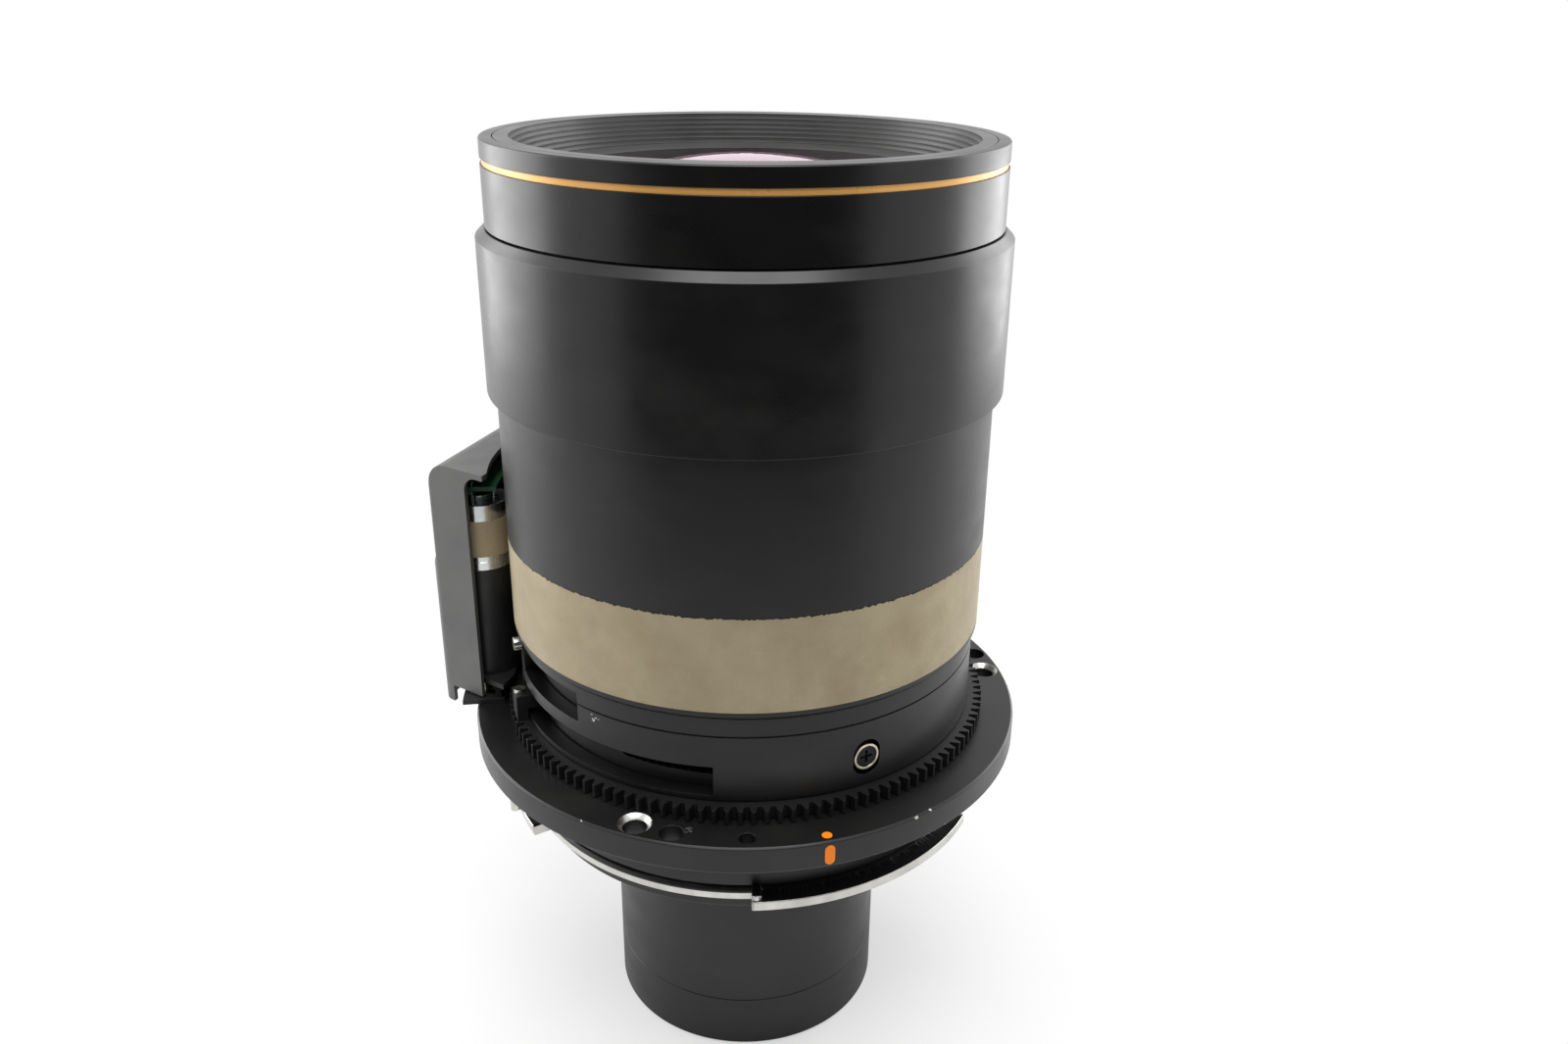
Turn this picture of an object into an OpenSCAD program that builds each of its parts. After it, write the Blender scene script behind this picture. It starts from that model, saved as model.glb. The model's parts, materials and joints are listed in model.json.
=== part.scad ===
// Motorised zoom projection lens with a bayonet mount.
// It stands on its rear barrel. The optical axis is Z and the rear face lies at Z = 0.
// Azimuths are counted from +X towards +Y, seen from the front of the lens.

/* [Rear end] */
// Outer radius of the rear barrel
rear_r = 38; // [36:0.5:42]
// Wall of the rear barrel
rear_wall = 3; // [2.5:0.5:4]
// Depth of the step under the seat ring
rear_neck_step = 1; // [0.6:0.1:1.2]
// Height of the screwed-on rear cell
rear_cell_h = 16; // [14:0.5:20]
// Height at which the rear barrel enters the mount
rear_h = 65.8; // [62:0.2:70]
// Outer radius of the seat ring
seat_r = 59; // [56:0.5:60]
// Thickness of the seat ring
seat_h = 4.6; // [3:0.2:6]

/* [Bayonet mount] */
// Radius of the mount spigot
hub_r = 62; // [61:0.5:62.5]
// Height of the spigot between bayonet plate and flange
hub_h = 13.3; // [10:0.1:16]
// Thickness of the bayonet plate
plate_h = 4.3; // [3.6:0.1:6]
// Radius of the bayonet lugs
lug_r = 66.5; // [65:0.5:68]
// Thickness of the bayonet lugs
lug_h = 2.7; // [2:0.1:3.4]
// Angle that one lug covers
lug_angle = 61; // [40:1:80]
// Radius of the mounting flange
flange_r = 75; // [74:0.5:80]
// Thickness of the mounting flange
flange_h = 7.25; // [6:0.25:10]
// Radius of the holes through the flange
flange_hole_r = 3; // [2:0.1:3.2]
// Radius of the circle on which the fixing holes lie
fix_circle_r = 69.9; // [69.5:0.1:70.5]

/* [Zoom drive] */
// Teeth on the zoom ring
zoom_teeth = 130; // [129:1:132]
// Teeth on the zoom motor's pinion
zoom_pinion_teeth = 14; // [13:1:15]
// Face width of the zoom gears
zoom_gear_h = 3.5; // [3:0.1:3.6]
// Turn of the zoom ring from wide to tele, degrees
zoom_turn = 58; // [30:1:58]
// Travel of the variator group from wide to tele
variator_travel = 20; // [10:1:20]
// Travel of the compensator group from wide to tele
compensator_travel = 1.2; // [0.6:0.1:1.2]

/* [Barrels] */
// Radius of the fixed barrel
fixed_r = 62; // [61.8:0.1:62.2]
// Wall of the fixed barrel
fixed_wall = 4; // [3.6:0.1:4.2]
// Height of the fixed barrel above the zoom ring
fixed_h = 24.8; // [24:0.2:27]
// Radius of the mid barrel
mid_r = 63.15; // [63:0.05:63.3]
// Height of the bare metal band
band_h = 24.5; // [18:0.5:26]
// Height of the black mid barrel that shows below the sliding barrel
mid_h = 38.1; // [34:0.1:50]
// Outer radius of the sliding barrel
sleeve_r = 65.4; // [65.2:0.1:67]
// Height of the sliding barrel
sleeve_h = 39.5; // [36:0.5:50]
// Height of the name band
name_h = 14.6; // [12:0.2:20]
// Height of the gold ring
gold_h = 1.5; // [1:0.1:3]
// Height of the front rim
rim_h = 4.5; // [3.5:0.1:6]
// Radius of the name band and front rim
front_r = 63; // [62.8:0.1:63.4]
// Travel of the front group each way for focus
focus_travel = 3; // [1:0.5:3]
// Turn of the focus ring each way, degrees
focus_turn = 30; // [20:1:30]

/* [Front glass] */
// Radius of the opening at the front rim
hood_r = 56.1; // [55:0.1:57]
// Radius of the opening above the glass
sight_r = 46; // [40:0.5:48]
// Radius of curvature of the front glass
dome_r = 108; // [100:1:140]
// Depth of the glass apex below the front rim
dome_drop = 4.9; // [4:0.1:8]
// Number of baffle steps
baffle_steps = 6; // [3:1:8]

/* [Motor unit] */
// Azimuth of the middle of the motor cover
cover_az = 161.4; // [160:0.2:163]
// Outer face of the cover's lower part, from the lens axis
cover_reach = 81.6; // [81.6:0.2:84]
// Depth of the step between the cover's lower and upper part
cover_step = 2; // [1:0.2:2]
// Wall of the cover
cover_wall = 1.5; // [1.2:0.1:1.5]
// Top of the cover above the flange
cover_top = 68.3; // [68:0.5:76]
// Radius of the motors
motor_r = 8; // [7:0.1:8]
// Azimuth of the zoom motor
zoom_motor_az = 177; // [176:0.5:177.5]
// Azimuth of the focus motor
focus_motor_az = 146; // [145:0.5:147]

/* [Hidden] */
$fn = 180;

// Clearances
// Overrun of a cut past the face that it leaves
cut = 1;
// Radial room between barrels that turn or slide inside each other
barrel_gap = 0.4;
// Axial room beside a turning piece
side_gap = 0.3;
// Radial room of a shaft in its bearing
shaft_gap = 0.05;
// Radial room round a fixed screw or pin
screw_gap = 0.1;
// Room beside a follower in its slot
slot_gap = 0.3;
// Room round a fine thread
thread_gap = 0.1;
// Places lifted together from one height
function lifted(base, rises) = [for (rise = rises) base + rise];

// Heights along the axis
seat_z = rear_h;
plate_z = seat_z + seat_h;
hub_z = plate_z + plate_h;
flange_z = hub_z + hub_h;
flange_top = flange_z + flange_h;
gear_z = flange_top + side_gap;
gear_top = gear_z + zoom_gear_h;
fixed_z = gear_top + side_gap;
band_z = fixed_z + fixed_h;
mid_z = band_z + band_h;
sleeve_z = mid_z + mid_h;
name_z = sleeve_z + sleeve_h;
name_gap = 0.4;
gold_z = name_z + name_h;
rim_z = gold_z + gold_h;
top_z = rim_z + rim_h;

// Sizes of the zoom gears
zoom_module = 1;
zoom_pitch_r = zoom_module * zoom_teeth / 2;
zoom_tip_r = zoom_pitch_r + zoom_module;
dedendum_share = 1.25;
pinion_addendum_share = 0.9;
zoom_root_r = zoom_pitch_r - dedendum_share * zoom_module;
zoom_ring_wall = 2.85;
zoom_bore_r = zoom_root_r - zoom_ring_wall;
zoom_pinion_pitch_r = zoom_module * zoom_pinion_teeth / 2;
// Added to a gear pair's centre distance so that the teeth run free
mesh_room = 0.12;
motor_circle_r = zoom_pitch_r + zoom_pinion_pitch_r + mesh_room;
neck_r = zoom_bore_r - barrel_gap;

// Inner radii of the barrels
fixed_bore_r = fixed_r - fixed_wall;
mid_bore_r = 60.2;
cam_r = fixed_bore_r - barrel_gap;
cam_wall = 3;
cam_bore_r = cam_r - cam_wall;
cell_r = cam_bore_r - barrel_gap;

// Guide plates and rods
guide_plate_h = 3;
guide_plate_z = flange_top;
guide_plate_top = guide_plate_z + guide_plate_h;
rod_r = 2;
rod_circle_r = 47.5;
rod_azimuths = [0, 120, 240];
rod_room = 0.5;
rod_hole_r = rod_r + rod_room;
light_r = 42;

// Cam barrel
cam_z = guide_plate_top + side_gap;
cam_drop = 1.65;
cam_top = mid_z - cam_drop;
front_plate_z = cam_top + 2 * side_gap;
front_plate_h = 2.8;
front_plate_top = front_plate_z + front_plate_h;

// Followers of the compensator group
roller_r = 3.5;
roller_rise = 7.45;
roller_z = fixed_z + roller_rise;
roller_azimuths = [298, 58, 178];
roller_recess_w = 2 * roller_r + 2 * slot_gap;
roller_recess_h = 9.8;
roller_screw_r = 2;

// Followers of the variator group
follower_r = 3;
follower_rise = 21.65;
follower_z = fixed_z + follower_rise;
follower_azimuths = [60, 180, 300];

// Slots in the fixed barrel
upper_slot_az = [199.4, 228];
upper_slot_rises = [12.65, 20.65];
upper_slot_z = lifted(fixed_z, upper_slot_rises);
lower_slot_az = [194.5, 262.5];
lower_slot_rises = [1.25, 9.15];
lower_slot_z = lifted(fixed_z, lower_slot_rises);
slot_line_rise = 17.35;
slot_line_z = fixed_z + slot_line_rise;
slot_line_w = 0.5;
slot_line_d = 0.35;

// Key between the zoom ring and the cam barrel
key_az = 199.5;
key_w = 6;
key_finger_rises = [3.05, 6.85];
key_finger_z = lifted(fixed_z, key_finger_rises);
key_arm_t = 2.9;
key_screw_r = 1;
key_screw_head_h = 1.1;

// Focus gears
focus_module = 0.8;
focus_teeth = 148;
idler_teeth = 15;
focus_pinion_teeth = 12;
focus_pitch_r = focus_module * focus_teeth / 2;
idler_pitch_r = focus_module * idler_teeth / 2;
focus_pinion_pitch_r = focus_module * focus_pinion_teeth / 2;
focus_addendum = 0.64;
focus_dedendum = 0.92;
focus_gear_rise = 4.05;
focus_gear_z = mid_z + focus_gear_rise;
focus_gear_h = 4;
idler_circle_r = focus_pitch_r + idler_pitch_r + mesh_room;
idler_gap = idler_pitch_r + focus_pinion_pitch_r + mesh_room;
idler_az = focus_motor_az + acos((idler_circle_r * idler_circle_r + motor_circle_r * motor_circle_r
    - idler_gap * idler_gap) / (2 * idler_circle_r * motor_circle_r));
idler_post_r = 1.5;

// Focus ring and front group
focus_ring_r = 59;
focus_ring_bore_r = 55.4;
focus_ring_z = front_plate_top + side_gap;
focus_ring_drop = 0.75;
focus_ring_top = sleeve_z - focus_ring_drop;
front_tube_r = focus_ring_bore_r - barrel_gap;
front_tube_bore_r = 51.2;
front_tube_rise = 12.35;
front_tube_z = mid_z + front_tube_rise;
focus_follower_r = 3;
focus_follower_rise = 22.35;
focus_follower_z = mid_z + focus_follower_rise;
focus_follower_azimuths = [30, 150, 270];
sleeve_gap = 0.35;
sleeve_bore_r = mid_r + sleeve_gap;
mid_drop = 12.3;
mid_top = name_z - mid_drop;
sleeve_rim_h = 5;
sleeve_rim_bore_r = 58.6;
cell_drop = 8.2;
cell_top = top_z - cell_drop;
cell_wall_r = 58.2;
cell_bore_r = 53.7;
cell_flange_r = 61.4;
cell_flange_h = 3;

// Front glass
apex_z = top_z - dome_drop;
front_glass_r = 52;
second_glass_r = 50;
glass_steps = 24;

// Motors
output_shaft_r = 1.5;
bracket_t = 1.2;
shelf_rise = 1.3;
shelf_z = gear_top + shelf_rise;
shelf_t = 1.5;
gearbox_z = shelf_z + shelf_t;
gearbox_h = 31.65;
gearbox_top = gearbox_z + gearbox_h;
can_h = 18.5;
can_top = gearbox_top + can_h;
label_rises = [3.8, 14];
label_z = lifted(gearbox_top, label_rises);
arm_t = 1.5;
arm_top = focus_gear_z - side_gap;
arm_z = arm_top - arm_t;
focus_can_h = 18.65;
focus_can_top = gearbox_z + focus_can_h;
focus_label_rises = [4.65, 14.65];
focus_label_z = lifted(gearbox_z, focus_label_rises);
bracket_az = [139.3, 187];
// Azimuth and outer radius of each web between the base plate and the shelf
webs = [[140, 74], [161, 74], [184.9, 70]];
web_angle = 1.4;
web_inner_r = 68.4;
spine_az = [156, 168];
spine_gap = 0.85;
spine_t = 1.6;
spine_r = [mid_r + spine_gap, mid_r + spine_gap + spine_t];
spine_mid_r = (spine_r[0] + spine_r[1]) / 2;
// The cover's plan cuts the ends of the shelf and the front end of the arm
shelf_az = [132, 192];
arm_az = [132, 169];

// Function helpers
function polar(r, a) = [r * cos(a), r * sin(a)];
function involute(a) = tan(a) * 180 / PI - a;
function flank_angle(r, pitch_r, thick, base_r) =
    thick / pitch_r * 90 / PI + involute(acos(base_r / pitch_r))
    - (r > base_r ? involute(acos(base_r / r)) : 0);
function gear_outline(teeth, pitch_r, root_r, tip_r, thick, pressure = 20) =
    let (base_r = pitch_r * cos(pressure), low_r = max(root_r, base_r))
    [for (i = [0:teeth - 1]) let (a = i * 360 / teeth) each [
        polar(root_r, a - flank_angle(low_r, pitch_r, thick, base_r)),
        polar(pitch_r, a - flank_angle(pitch_r, pitch_r, thick, base_r)),
        polar(tip_r, a - flank_angle(tip_r, pitch_r, thick, base_r)),
        polar(tip_r, a + flank_angle(tip_r, pitch_r, thick, base_r)),
        polar(pitch_r, a + flank_angle(pitch_r, pitch_r, thick, base_r)),
        polar(root_r, a + flank_angle(low_r, pitch_r, thick, base_r))
    ]];
// Turn of a second gear so that its gap meets a tooth of the first, which is turned by first_turn
function mesh_turn(direction, first_turn, first_teeth, second_teeth) =
    direction + 180 - 180 / second_teeth + (direction - first_turn) * first_teeth / second_teeth;
// Height of a sphere's surface below its apex at distance x from the axis; a curvature of 0 is flat
function sag(x, r) = r == 0 ? 0 : r - sign(r) * sqrt(r * r - x * x);
// Outline of one glass, turned about the axis: front and back apex, front and back curvature
function glass_outline(edge_r, front_z, front_curve, back_z, back_curve) = concat(
    [for (i = [0:glass_steps]) let (x = edge_r * i / glass_steps) [x, front_z - sag(x, front_curve)]],
    [for (i = [glass_steps:-1:0]) let (x = edge_r * i / glass_steps) [x, back_z + sag(x, back_curve)]]
);
// Outline with each corner rounded by its own radius
function corner_points(p, q, s, r) =
    let (a = (p - q) / norm(p - q), b = (s - q) / norm(s - q), half = acos(a * b) / 2,
        mid = (a + b) / norm(a + b), c = q + mid * r / sin(half),
        start = atan2((q + a * r / tan(half) - c)[1], (q + a * r / tan(half) - c)[0]),
        end = atan2((q + b * r / tan(half) - c)[1], (q + b * r / tan(half) - c)[0]),
        turn = end - start > 180 ? end - start - 360 : end - start < -180 ? end - start + 360 : end - start)
    [for (i = [0:6]) c + r * [cos(start + turn * i / 6), sin(start + turn * i / 6)]];
function rounded(points, radii) = [for (i = [0:len(points) - 1])
    let (n = len(points), q = points[i])
    each (radii[i] > 0 ? corner_points(points[(i + n - 1) % n], q, points[(i + 1) % n], radii[i]) : [q])];

// Shape helpers
module tube(outer, inner, low, high) {
    translate([0, 0, low])
        difference() {
            cylinder(r = outer, h = high - low);
            translate([0, 0, -cut]) cylinder(r = inner, h = high - low + 2 * cut);
        }
}

module turned(points) {
    rotate_extrude() polygon(points);
}

// Part of a ring between two azimuths
module sector(radii, azimuths, heights) {
    rotate([0, 0, azimuths[0]])
        rotate_extrude(angle = azimuths[1] - azimuths[0])
            translate([radii[0], heights[0]])
                square([radii[1] - radii[0], heights[1] - heights[0]]);
}

// Place on a circle round the axis, with X pointing outwards
module at(az, r = 0, z = 0) {
    rotate([0, 0, az]) translate([r, 0, z]) children();
}

// Cylinder that points away from the axis
module radial_pin(az, low, high, r, z) {
    at(az, low, z) rotate([0, 90, 0]) cylinder(r = r, h = high - low, $fn = 48);
}

module gear(teeth, pitch_r, root_r, tip_r, h, thick) {
    linear_extrude(h) polygon(gear_outline(teeth, pitch_r, root_r, tip_r, thick));
}

// Slot that runs round a barrel and climbs, cut as a row of overlapping bores
bore_step_share = 0.6;
module climbing_slot(az, z, sweep, climb, r, low, high) {
    run = norm([sweep * PI / 180 * high, climb]);
    steps = ceil(run / (bore_step_share * r));
    for (i = [0:steps])
        radial_pin(az - sweep * i / steps, low, high, r, z + climb * i / steps);
}

// Rear end
rear_bore_r = rear_r - rear_wall;
rear_neck_r = rear_r - rear_neck_step;
port_ring_h = 5;
port_r = 29;
rear_chamfer = 0.8;
rear_glass_r = 32;
rear_shelf_h = 2;
// The cell is turned a little smaller than the barrel that it screws onto
rear_cell_step = 0.5;
rear_cell_r = rear_r - rear_cell_step;

module rear_cell() {
    color("#2b2b2c")
        turned([
            [rear_cell_r - rear_chamfer, 0], [rear_cell_r, rear_chamfer],
            [rear_cell_r, rear_cell_h - rear_chamfer / 4], [rear_cell_r - rear_chamfer / 4, rear_cell_h],
            [rear_glass_r - rear_shelf_h, rear_cell_h],
            [rear_glass_r - rear_shelf_h, rear_cell_h - rear_shelf_h],
            [rear_glass_r + thread_gap, rear_cell_h - rear_shelf_h], [rear_glass_r + thread_gap, 0]
        ]);
}

// The rear glass is hollow towards the port ring, which holds it by its rim
rear_curve = -160;
rear_apex_z = port_ring_h + thread_gap - sag(rear_glass_r, rear_curve);

module rear_port_ring() {
    color("#1f1f20") tube(rear_glass_r, port_r, 0, port_ring_h);
}

module rear_element() {
    color("#bcd0d4")
        turned(glass_outline(rear_glass_r, rear_cell_h - rear_shelf_h, 0, rear_apex_z, rear_curve));
}

relay_drop = 13.8;
relay_z = seat_z - relay_drop;
relay_edge_h = 6;
relay_r = rear_bore_r - thread_gap;
relay_curve = 70;
relay_apex_z = relay_z - sag(relay_r, relay_curve);
rear_flange_r = 50;
rear_flange_h = 3;
rear_hole_turn = 60;

module rear_barrel() {
    color("#2b2b2c")
        difference() {
            turned([
                [rear_bore_r, rear_cell_h], [rear_r, rear_cell_h], [rear_r, seat_z], [rear_neck_r, seat_z],
                [rear_neck_r, hub_z + side_gap], [rear_flange_r, hub_z + side_gap],
                [rear_flange_r, hub_z + side_gap + rear_flange_h],
                [rear_bore_r - rear_shelf_h, hub_z + side_gap + rear_flange_h],
                [rear_bore_r - rear_shelf_h, relay_z + relay_edge_h],
                [rear_bore_r, relay_z + relay_edge_h]
            ]);
            for (az = rod_azimuths)
                at(az + rear_hole_turn, (rear_r + rear_flange_r) / 2, hub_z)
                    cylinder(r = bayonet_screw_r + screw_gap, h = rear_flange_h + cut, $fn = 32);
        }
}

module relay_element() {
    front_curve = -140;
    color("#c4d3d6")
        turned(glass_outline(relay_r, relay_z + relay_edge_h + sag(relay_r, front_curve), front_curve,
            relay_apex_z, relay_curve));
}

module rear_spacer() {
    inner_r = relay_r - rear_wall;
    color("#1d1d1e")
        tube(relay_r, inner_r, rear_cell_h, relay_apex_z + sag(inner_r, relay_curve) - thread_gap);
}

module seat_ring() {
    seat_chamfer = 0.5;
    color("#222223")
        turned([
            [rear_neck_r + thread_gap, seat_z], [seat_r - seat_chamfer, seat_z], [seat_r, seat_z + seat_chamfer],
            [seat_r, plate_z], [rear_neck_r + thread_gap, plate_z]
        ]);
}

// Bayonet mount
bayonet_screw_r = 1.5;
bayonet_screw_circle_r = 56.5;
bayonet_screw_head_r = 2.8;
bayonet_screw_head_h = 1.6;
bayonet_screw_grip = 7;
lug_start = 271;
first_screw_az = 25;
bayonet_screw_count = 6;

module bayonet_plate() {
    color("#b9bab6")
        difference() {
            union() {
                tube(hub_r, rear_flange_r + thread_gap, plate_z, hub_z);
                for (i = [0:2])
                    sector([hub_r - cut, lug_r], [lug_start + 120 * i, lug_start + 120 * i + lug_angle],
                        [plate_z, plate_z + lug_h]);
            }
            for (i = [0:bayonet_screw_count - 1])
                at(first_screw_az + i * 360 / bayonet_screw_count, bayonet_screw_circle_r, plate_z - cut) {
                    cylinder(r = bayonet_screw_r + screw_gap, h = plate_h + 2 * cut, $fn = 32);
                    cylinder(r = bayonet_screw_head_r + screw_gap, h = bayonet_screw_head_h + cut, $fn = 32);
                }
        }
}

module bayonet_screws() {
    color("#55565a")
        for (i = [0:bayonet_screw_count - 1])
            at(first_screw_az + i * 360 / bayonet_screw_count, bayonet_screw_circle_r, plate_z) {
                cylinder(r = bayonet_screw_head_r, h = bayonet_screw_head_h, $fn = 32);
                cylinder(r = bayonet_screw_r, h = bayonet_screw_grip, $fn = 32);
            }
}

hub_bore_r = 52.5;
csk_r = 4.2;
csk_az = 247.5;
plain_az = 255.5;
plain_edge = 4.1;
plain_circle_r = flange_r - plain_edge;
pilot_az = 270;
pilot_edge = 4;
pilot_circle_r = flange_r - pilot_edge;
pilot_r = 2.1;
peg_az = 216;
peg_edge = 1.9;
peg_circle_r = flange_r - peg_edge;
peg_r = 1.25;
peg_drop = 3.6;
peg_grip = 3;
flange_chamfer = 0.5;
bracket_screw_az = [144.5, 156, 168];
bracket_screw_circle_r = 69.2;
bracket_screw_r = 1.25;
bracket_screw_grip = 4.5;

module mount_flange() {
    color("#262627")
        difference() {
            turned([
                [hub_bore_r, hub_z], [hub_r, hub_z], [hub_r, flange_z], [flange_r - flange_chamfer, flange_z],
                [flange_r, flange_z + flange_chamfer], [flange_r, flange_top - flange_chamfer],
                [flange_r - flange_chamfer, flange_top], [hub_bore_r, flange_top]
            ]);
            for (i = [0:2]) {
                at(csk_az + 120 * i, fix_circle_r, flange_z - cut)
                    cylinder(r = flange_hole_r, h = flange_h + 2 * cut, $fn = 48);
                at(csk_az + 120 * i, fix_circle_r, flange_top - (csk_r - flange_hole_r))
                    cylinder(r1 = flange_hole_r, r2 = csk_r + cut, h = csk_r - flange_hole_r + cut, $fn = 48);
                at(plain_az + 120 * i, plain_circle_r, flange_z - cut)
                    cylinder(r = flange_hole_r, h = flange_h + 2 * cut, $fn = 48);
            }
            at(pilot_az, pilot_circle_r, flange_z - cut)
                cylinder(r = pilot_r, h = flange_h + 2 * cut, $fn = 48);
            at(peg_az, peg_circle_r, flange_z - cut)
                cylinder(r = peg_r, h = peg_grip + cut, $fn = 32);
            for (i = [0:bayonet_screw_count - 1])
                at(first_screw_az + i * 360 / bayonet_screw_count, bayonet_screw_circle_r, hub_z - cut)
                    cylinder(r = bayonet_screw_r + screw_gap, h = bayonet_screw_grip + cut, $fn = 32);
            for (az = bracket_screw_az)
                at(az, bracket_screw_circle_r, flange_top - bracket_screw_grip)
                    cylinder(r = bracket_screw_r + screw_gap, h = bracket_screw_grip + cut, $fn = 32);
        }
}

index_az = 285;
index_dot_r = 1.25;
index_dot_edge = 2.5;
index_dot_circle_r = flange_r - index_dot_edge;
index_t = 0.1;
index_bar_w = 2.5;
index_bar_h = 5.3;

module index_dot() {
    color("#ff8214")
        at(index_az, index_dot_circle_r, flange_top) cylinder(r = index_dot_r, h = index_t, $fn = 32);
}

module index_bar() {
    bar_mid_z = flange_z + flange_h / 2 - index_t;
    color("#ff8214")
        intersection() {
            tube(flange_r + index_t, flange_r, flange_z, flange_top);
            union() {
                at(index_az, flange_r - cut, bar_mid_z - (index_bar_h - index_bar_w) / 2)
                    translate([0, -index_bar_w / 2, 0])
                        cube([2 * cut, index_bar_w, index_bar_h - index_bar_w]);
                for (side = [-1, 1])
                    radial_pin(index_az, flange_r - cut, flange_r + cut, index_bar_w / 2,
                        bar_mid_z + side * (index_bar_h - index_bar_w) / 2);
            }
        }
}

module stop_peg() {
    color("#c9cac6")
        at(peg_az, peg_circle_r, flange_z - peg_drop) cylinder(r = peg_r, h = peg_drop + peg_grip, $fn = 32);
}

// Fixed and mid barrel
band_step = 1.2;
barrel_screw_az = 197.2;
barrel_screw_rise = 19.85;
barrel_screw_z = fixed_z + barrel_screw_rise;
barrel_screw_r = 1.3;
barrel_screw_head_r = 1.9;
barrel_screw_head_h = 2.2;
barrel_screw_grip = 3;

module fixed_barrel() {
    color("#2a2a2b")
        difference() {
            turned([
                [fixed_bore_r, flange_top], [neck_r, flange_top], [neck_r, fixed_z], [fixed_r, fixed_z],
                [fixed_r, slot_line_z], [fixed_r - slot_line_d, slot_line_z],
                [fixed_r - slot_line_d, slot_line_z + slot_line_w], [fixed_r, slot_line_z + slot_line_w],
                [fixed_r, band_z - 2 * band_step], [mid_r, band_z - band_step], [mid_r, band_z],
                [fixed_bore_r, band_z]
            ]);
            sector([fixed_bore_r - cut, fixed_r + 2 * cut], upper_slot_az, upper_slot_z);
            sector([fixed_bore_r - cut, fixed_r + 2 * cut], lower_slot_az, lower_slot_z);
            for (az = roller_azimuths)
                at(az, fixed_bore_r - cut, roller_z - roller_recess_h / 2) {
                    translate([0, 0, roller_recess_w / 2])
                        rotate([0, 90, 0]) cylinder(d = roller_recess_w, h = fixed_wall + 2 * cut, $fn = 48);
                    translate([0, 0, roller_recess_h - roller_recess_w / 2])
                        rotate([0, 90, 0]) cylinder(d = roller_recess_w, h = fixed_wall + 2 * cut, $fn = 48);
                    translate([0, -roller_recess_w / 2, roller_recess_w / 2])
                        cube([fixed_wall + 2 * cut, roller_recess_w, roller_recess_h - roller_recess_w]);
                }
            radial_pin(barrel_screw_az, fixed_r - barrel_screw_grip, fixed_r + cut, barrel_screw_r + screw_gap,
                barrel_screw_z);
        }
}

module barrel_screw() {
    color("#c6c0a8") {
        radial_pin(barrel_screw_az, fixed_r - barrel_screw_grip, fixed_r + barrel_screw_head_h,
            barrel_screw_r, barrel_screw_z);
        radial_pin(barrel_screw_az, fixed_r + screw_gap, fixed_r + barrel_screw_head_h, barrel_screw_head_r,
            barrel_screw_z);
    }
}

module bare_band() {
    color("#a4977b") tube(mid_r, mid_bore_r, band_z, mid_z);
}

window_turn = 8;
window_room = 0.8;
window_az = [idler_az - window_turn, idler_az + window_turn];
window_z = [focus_gear_z - window_room, focus_gear_z + focus_gear_h + window_room];
guide_key_azimuths = [90, 210, 330];
guide_key_w = 6;
guide_key_h = 6;
guide_key_room = 1;
guide_key_slot_z = mid_top - guide_key_h - 2 * (focus_travel + guide_key_room);

module mid_barrel() {
    color("#2a2a2b")
        difference() {
            tube(mid_r, mid_bore_r, mid_z, mid_top);
            sector([mid_bore_r - cut, mid_r + cut], window_az, window_z);
            for (az = guide_key_azimuths)
                at(az, mid_bore_r - cut, guide_key_slot_z)
                    translate([0, -guide_key_w / 2 - slot_gap, 0])
                        cube([mid_r - mid_bore_r + 2 * cut, guide_key_w + 2 * slot_gap,
                            mid_top - guide_key_slot_z + cut]);
        }
}

module rear_guide_plate() {
    color("#3a3a3c")
        difference() {
            tube(fixed_bore_r - thread_gap, light_r, guide_plate_z, guide_plate_top);
            for (az = rod_azimuths)
                at(az, rod_circle_r, guide_plate_z - cut)
                    cylinder(r = rod_r, h = guide_plate_h + 2 * cut, $fn = 32);
        }
}

module front_guide_plate() {
    color("#3a3a3c")
        difference() {
            tube(mid_bore_r - thread_gap, light_r, front_plate_z, front_plate_top);
            for (az = rod_azimuths)
                at(az, rod_circle_r, front_plate_z - cut)
                    cylinder(r = rod_r, h = front_plate_h + 2 * cut, $fn = 32);
        }
}

module guide_rods() {
    color("#cfd0d2")
        for (az = rod_azimuths)
            at(az, rod_circle_r, guide_plate_z)
                cylinder(r = rod_r, h = front_plate_top - guide_plate_z, $fn = 32);
}

// Zoom ring
zoom_backlash = 0.12;
zoom_tooth_thick = zoom_module * PI / 2 - zoom_backlash;
key_hole_gap = 0.1;

module zoom_gear_ring() {
    color("#1e1e1f")
        difference() {
            translate([0, 0, gear_z])
                gear(zoom_teeth, zoom_pitch_r, zoom_root_r, zoom_tip_r, zoom_gear_h, zoom_tooth_thick);
            translate([0, 0, gear_z - cut]) cylinder(r = zoom_bore_r, h = zoom_gear_h + 2 * cut);
            at(key_az, fixed_r + barrel_gap + key_arm_t / 2, gear_z - cut)
                cylinder(r = key_screw_r, h = zoom_gear_h + 2 * cut, $fn = 32);
        }
}

module zoom_key() {
    arm_r = fixed_r + barrel_gap;
    color("#6e6f72")
        difference() {
            union() {
                at(key_az, arm_r, gear_top)
                    translate([0, -key_w / 2, 0]) cube([key_arm_t, key_w, key_finger_z[1] - gear_top]);
                at(key_az, cam_bore_r + side_gap, key_finger_z[0])
                    translate([0, -key_w / 2, 0])
                        cube([arm_r - cam_bore_r, key_w, key_finger_z[1] - key_finger_z[0]]);
            }
            at(key_az, arm_r + key_arm_t / 2, gear_top - cut)
                cylinder(r = key_screw_r + screw_gap, h = key_finger_z[1] - gear_top + 2 * cut, $fn = 32);
        }
}

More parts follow.
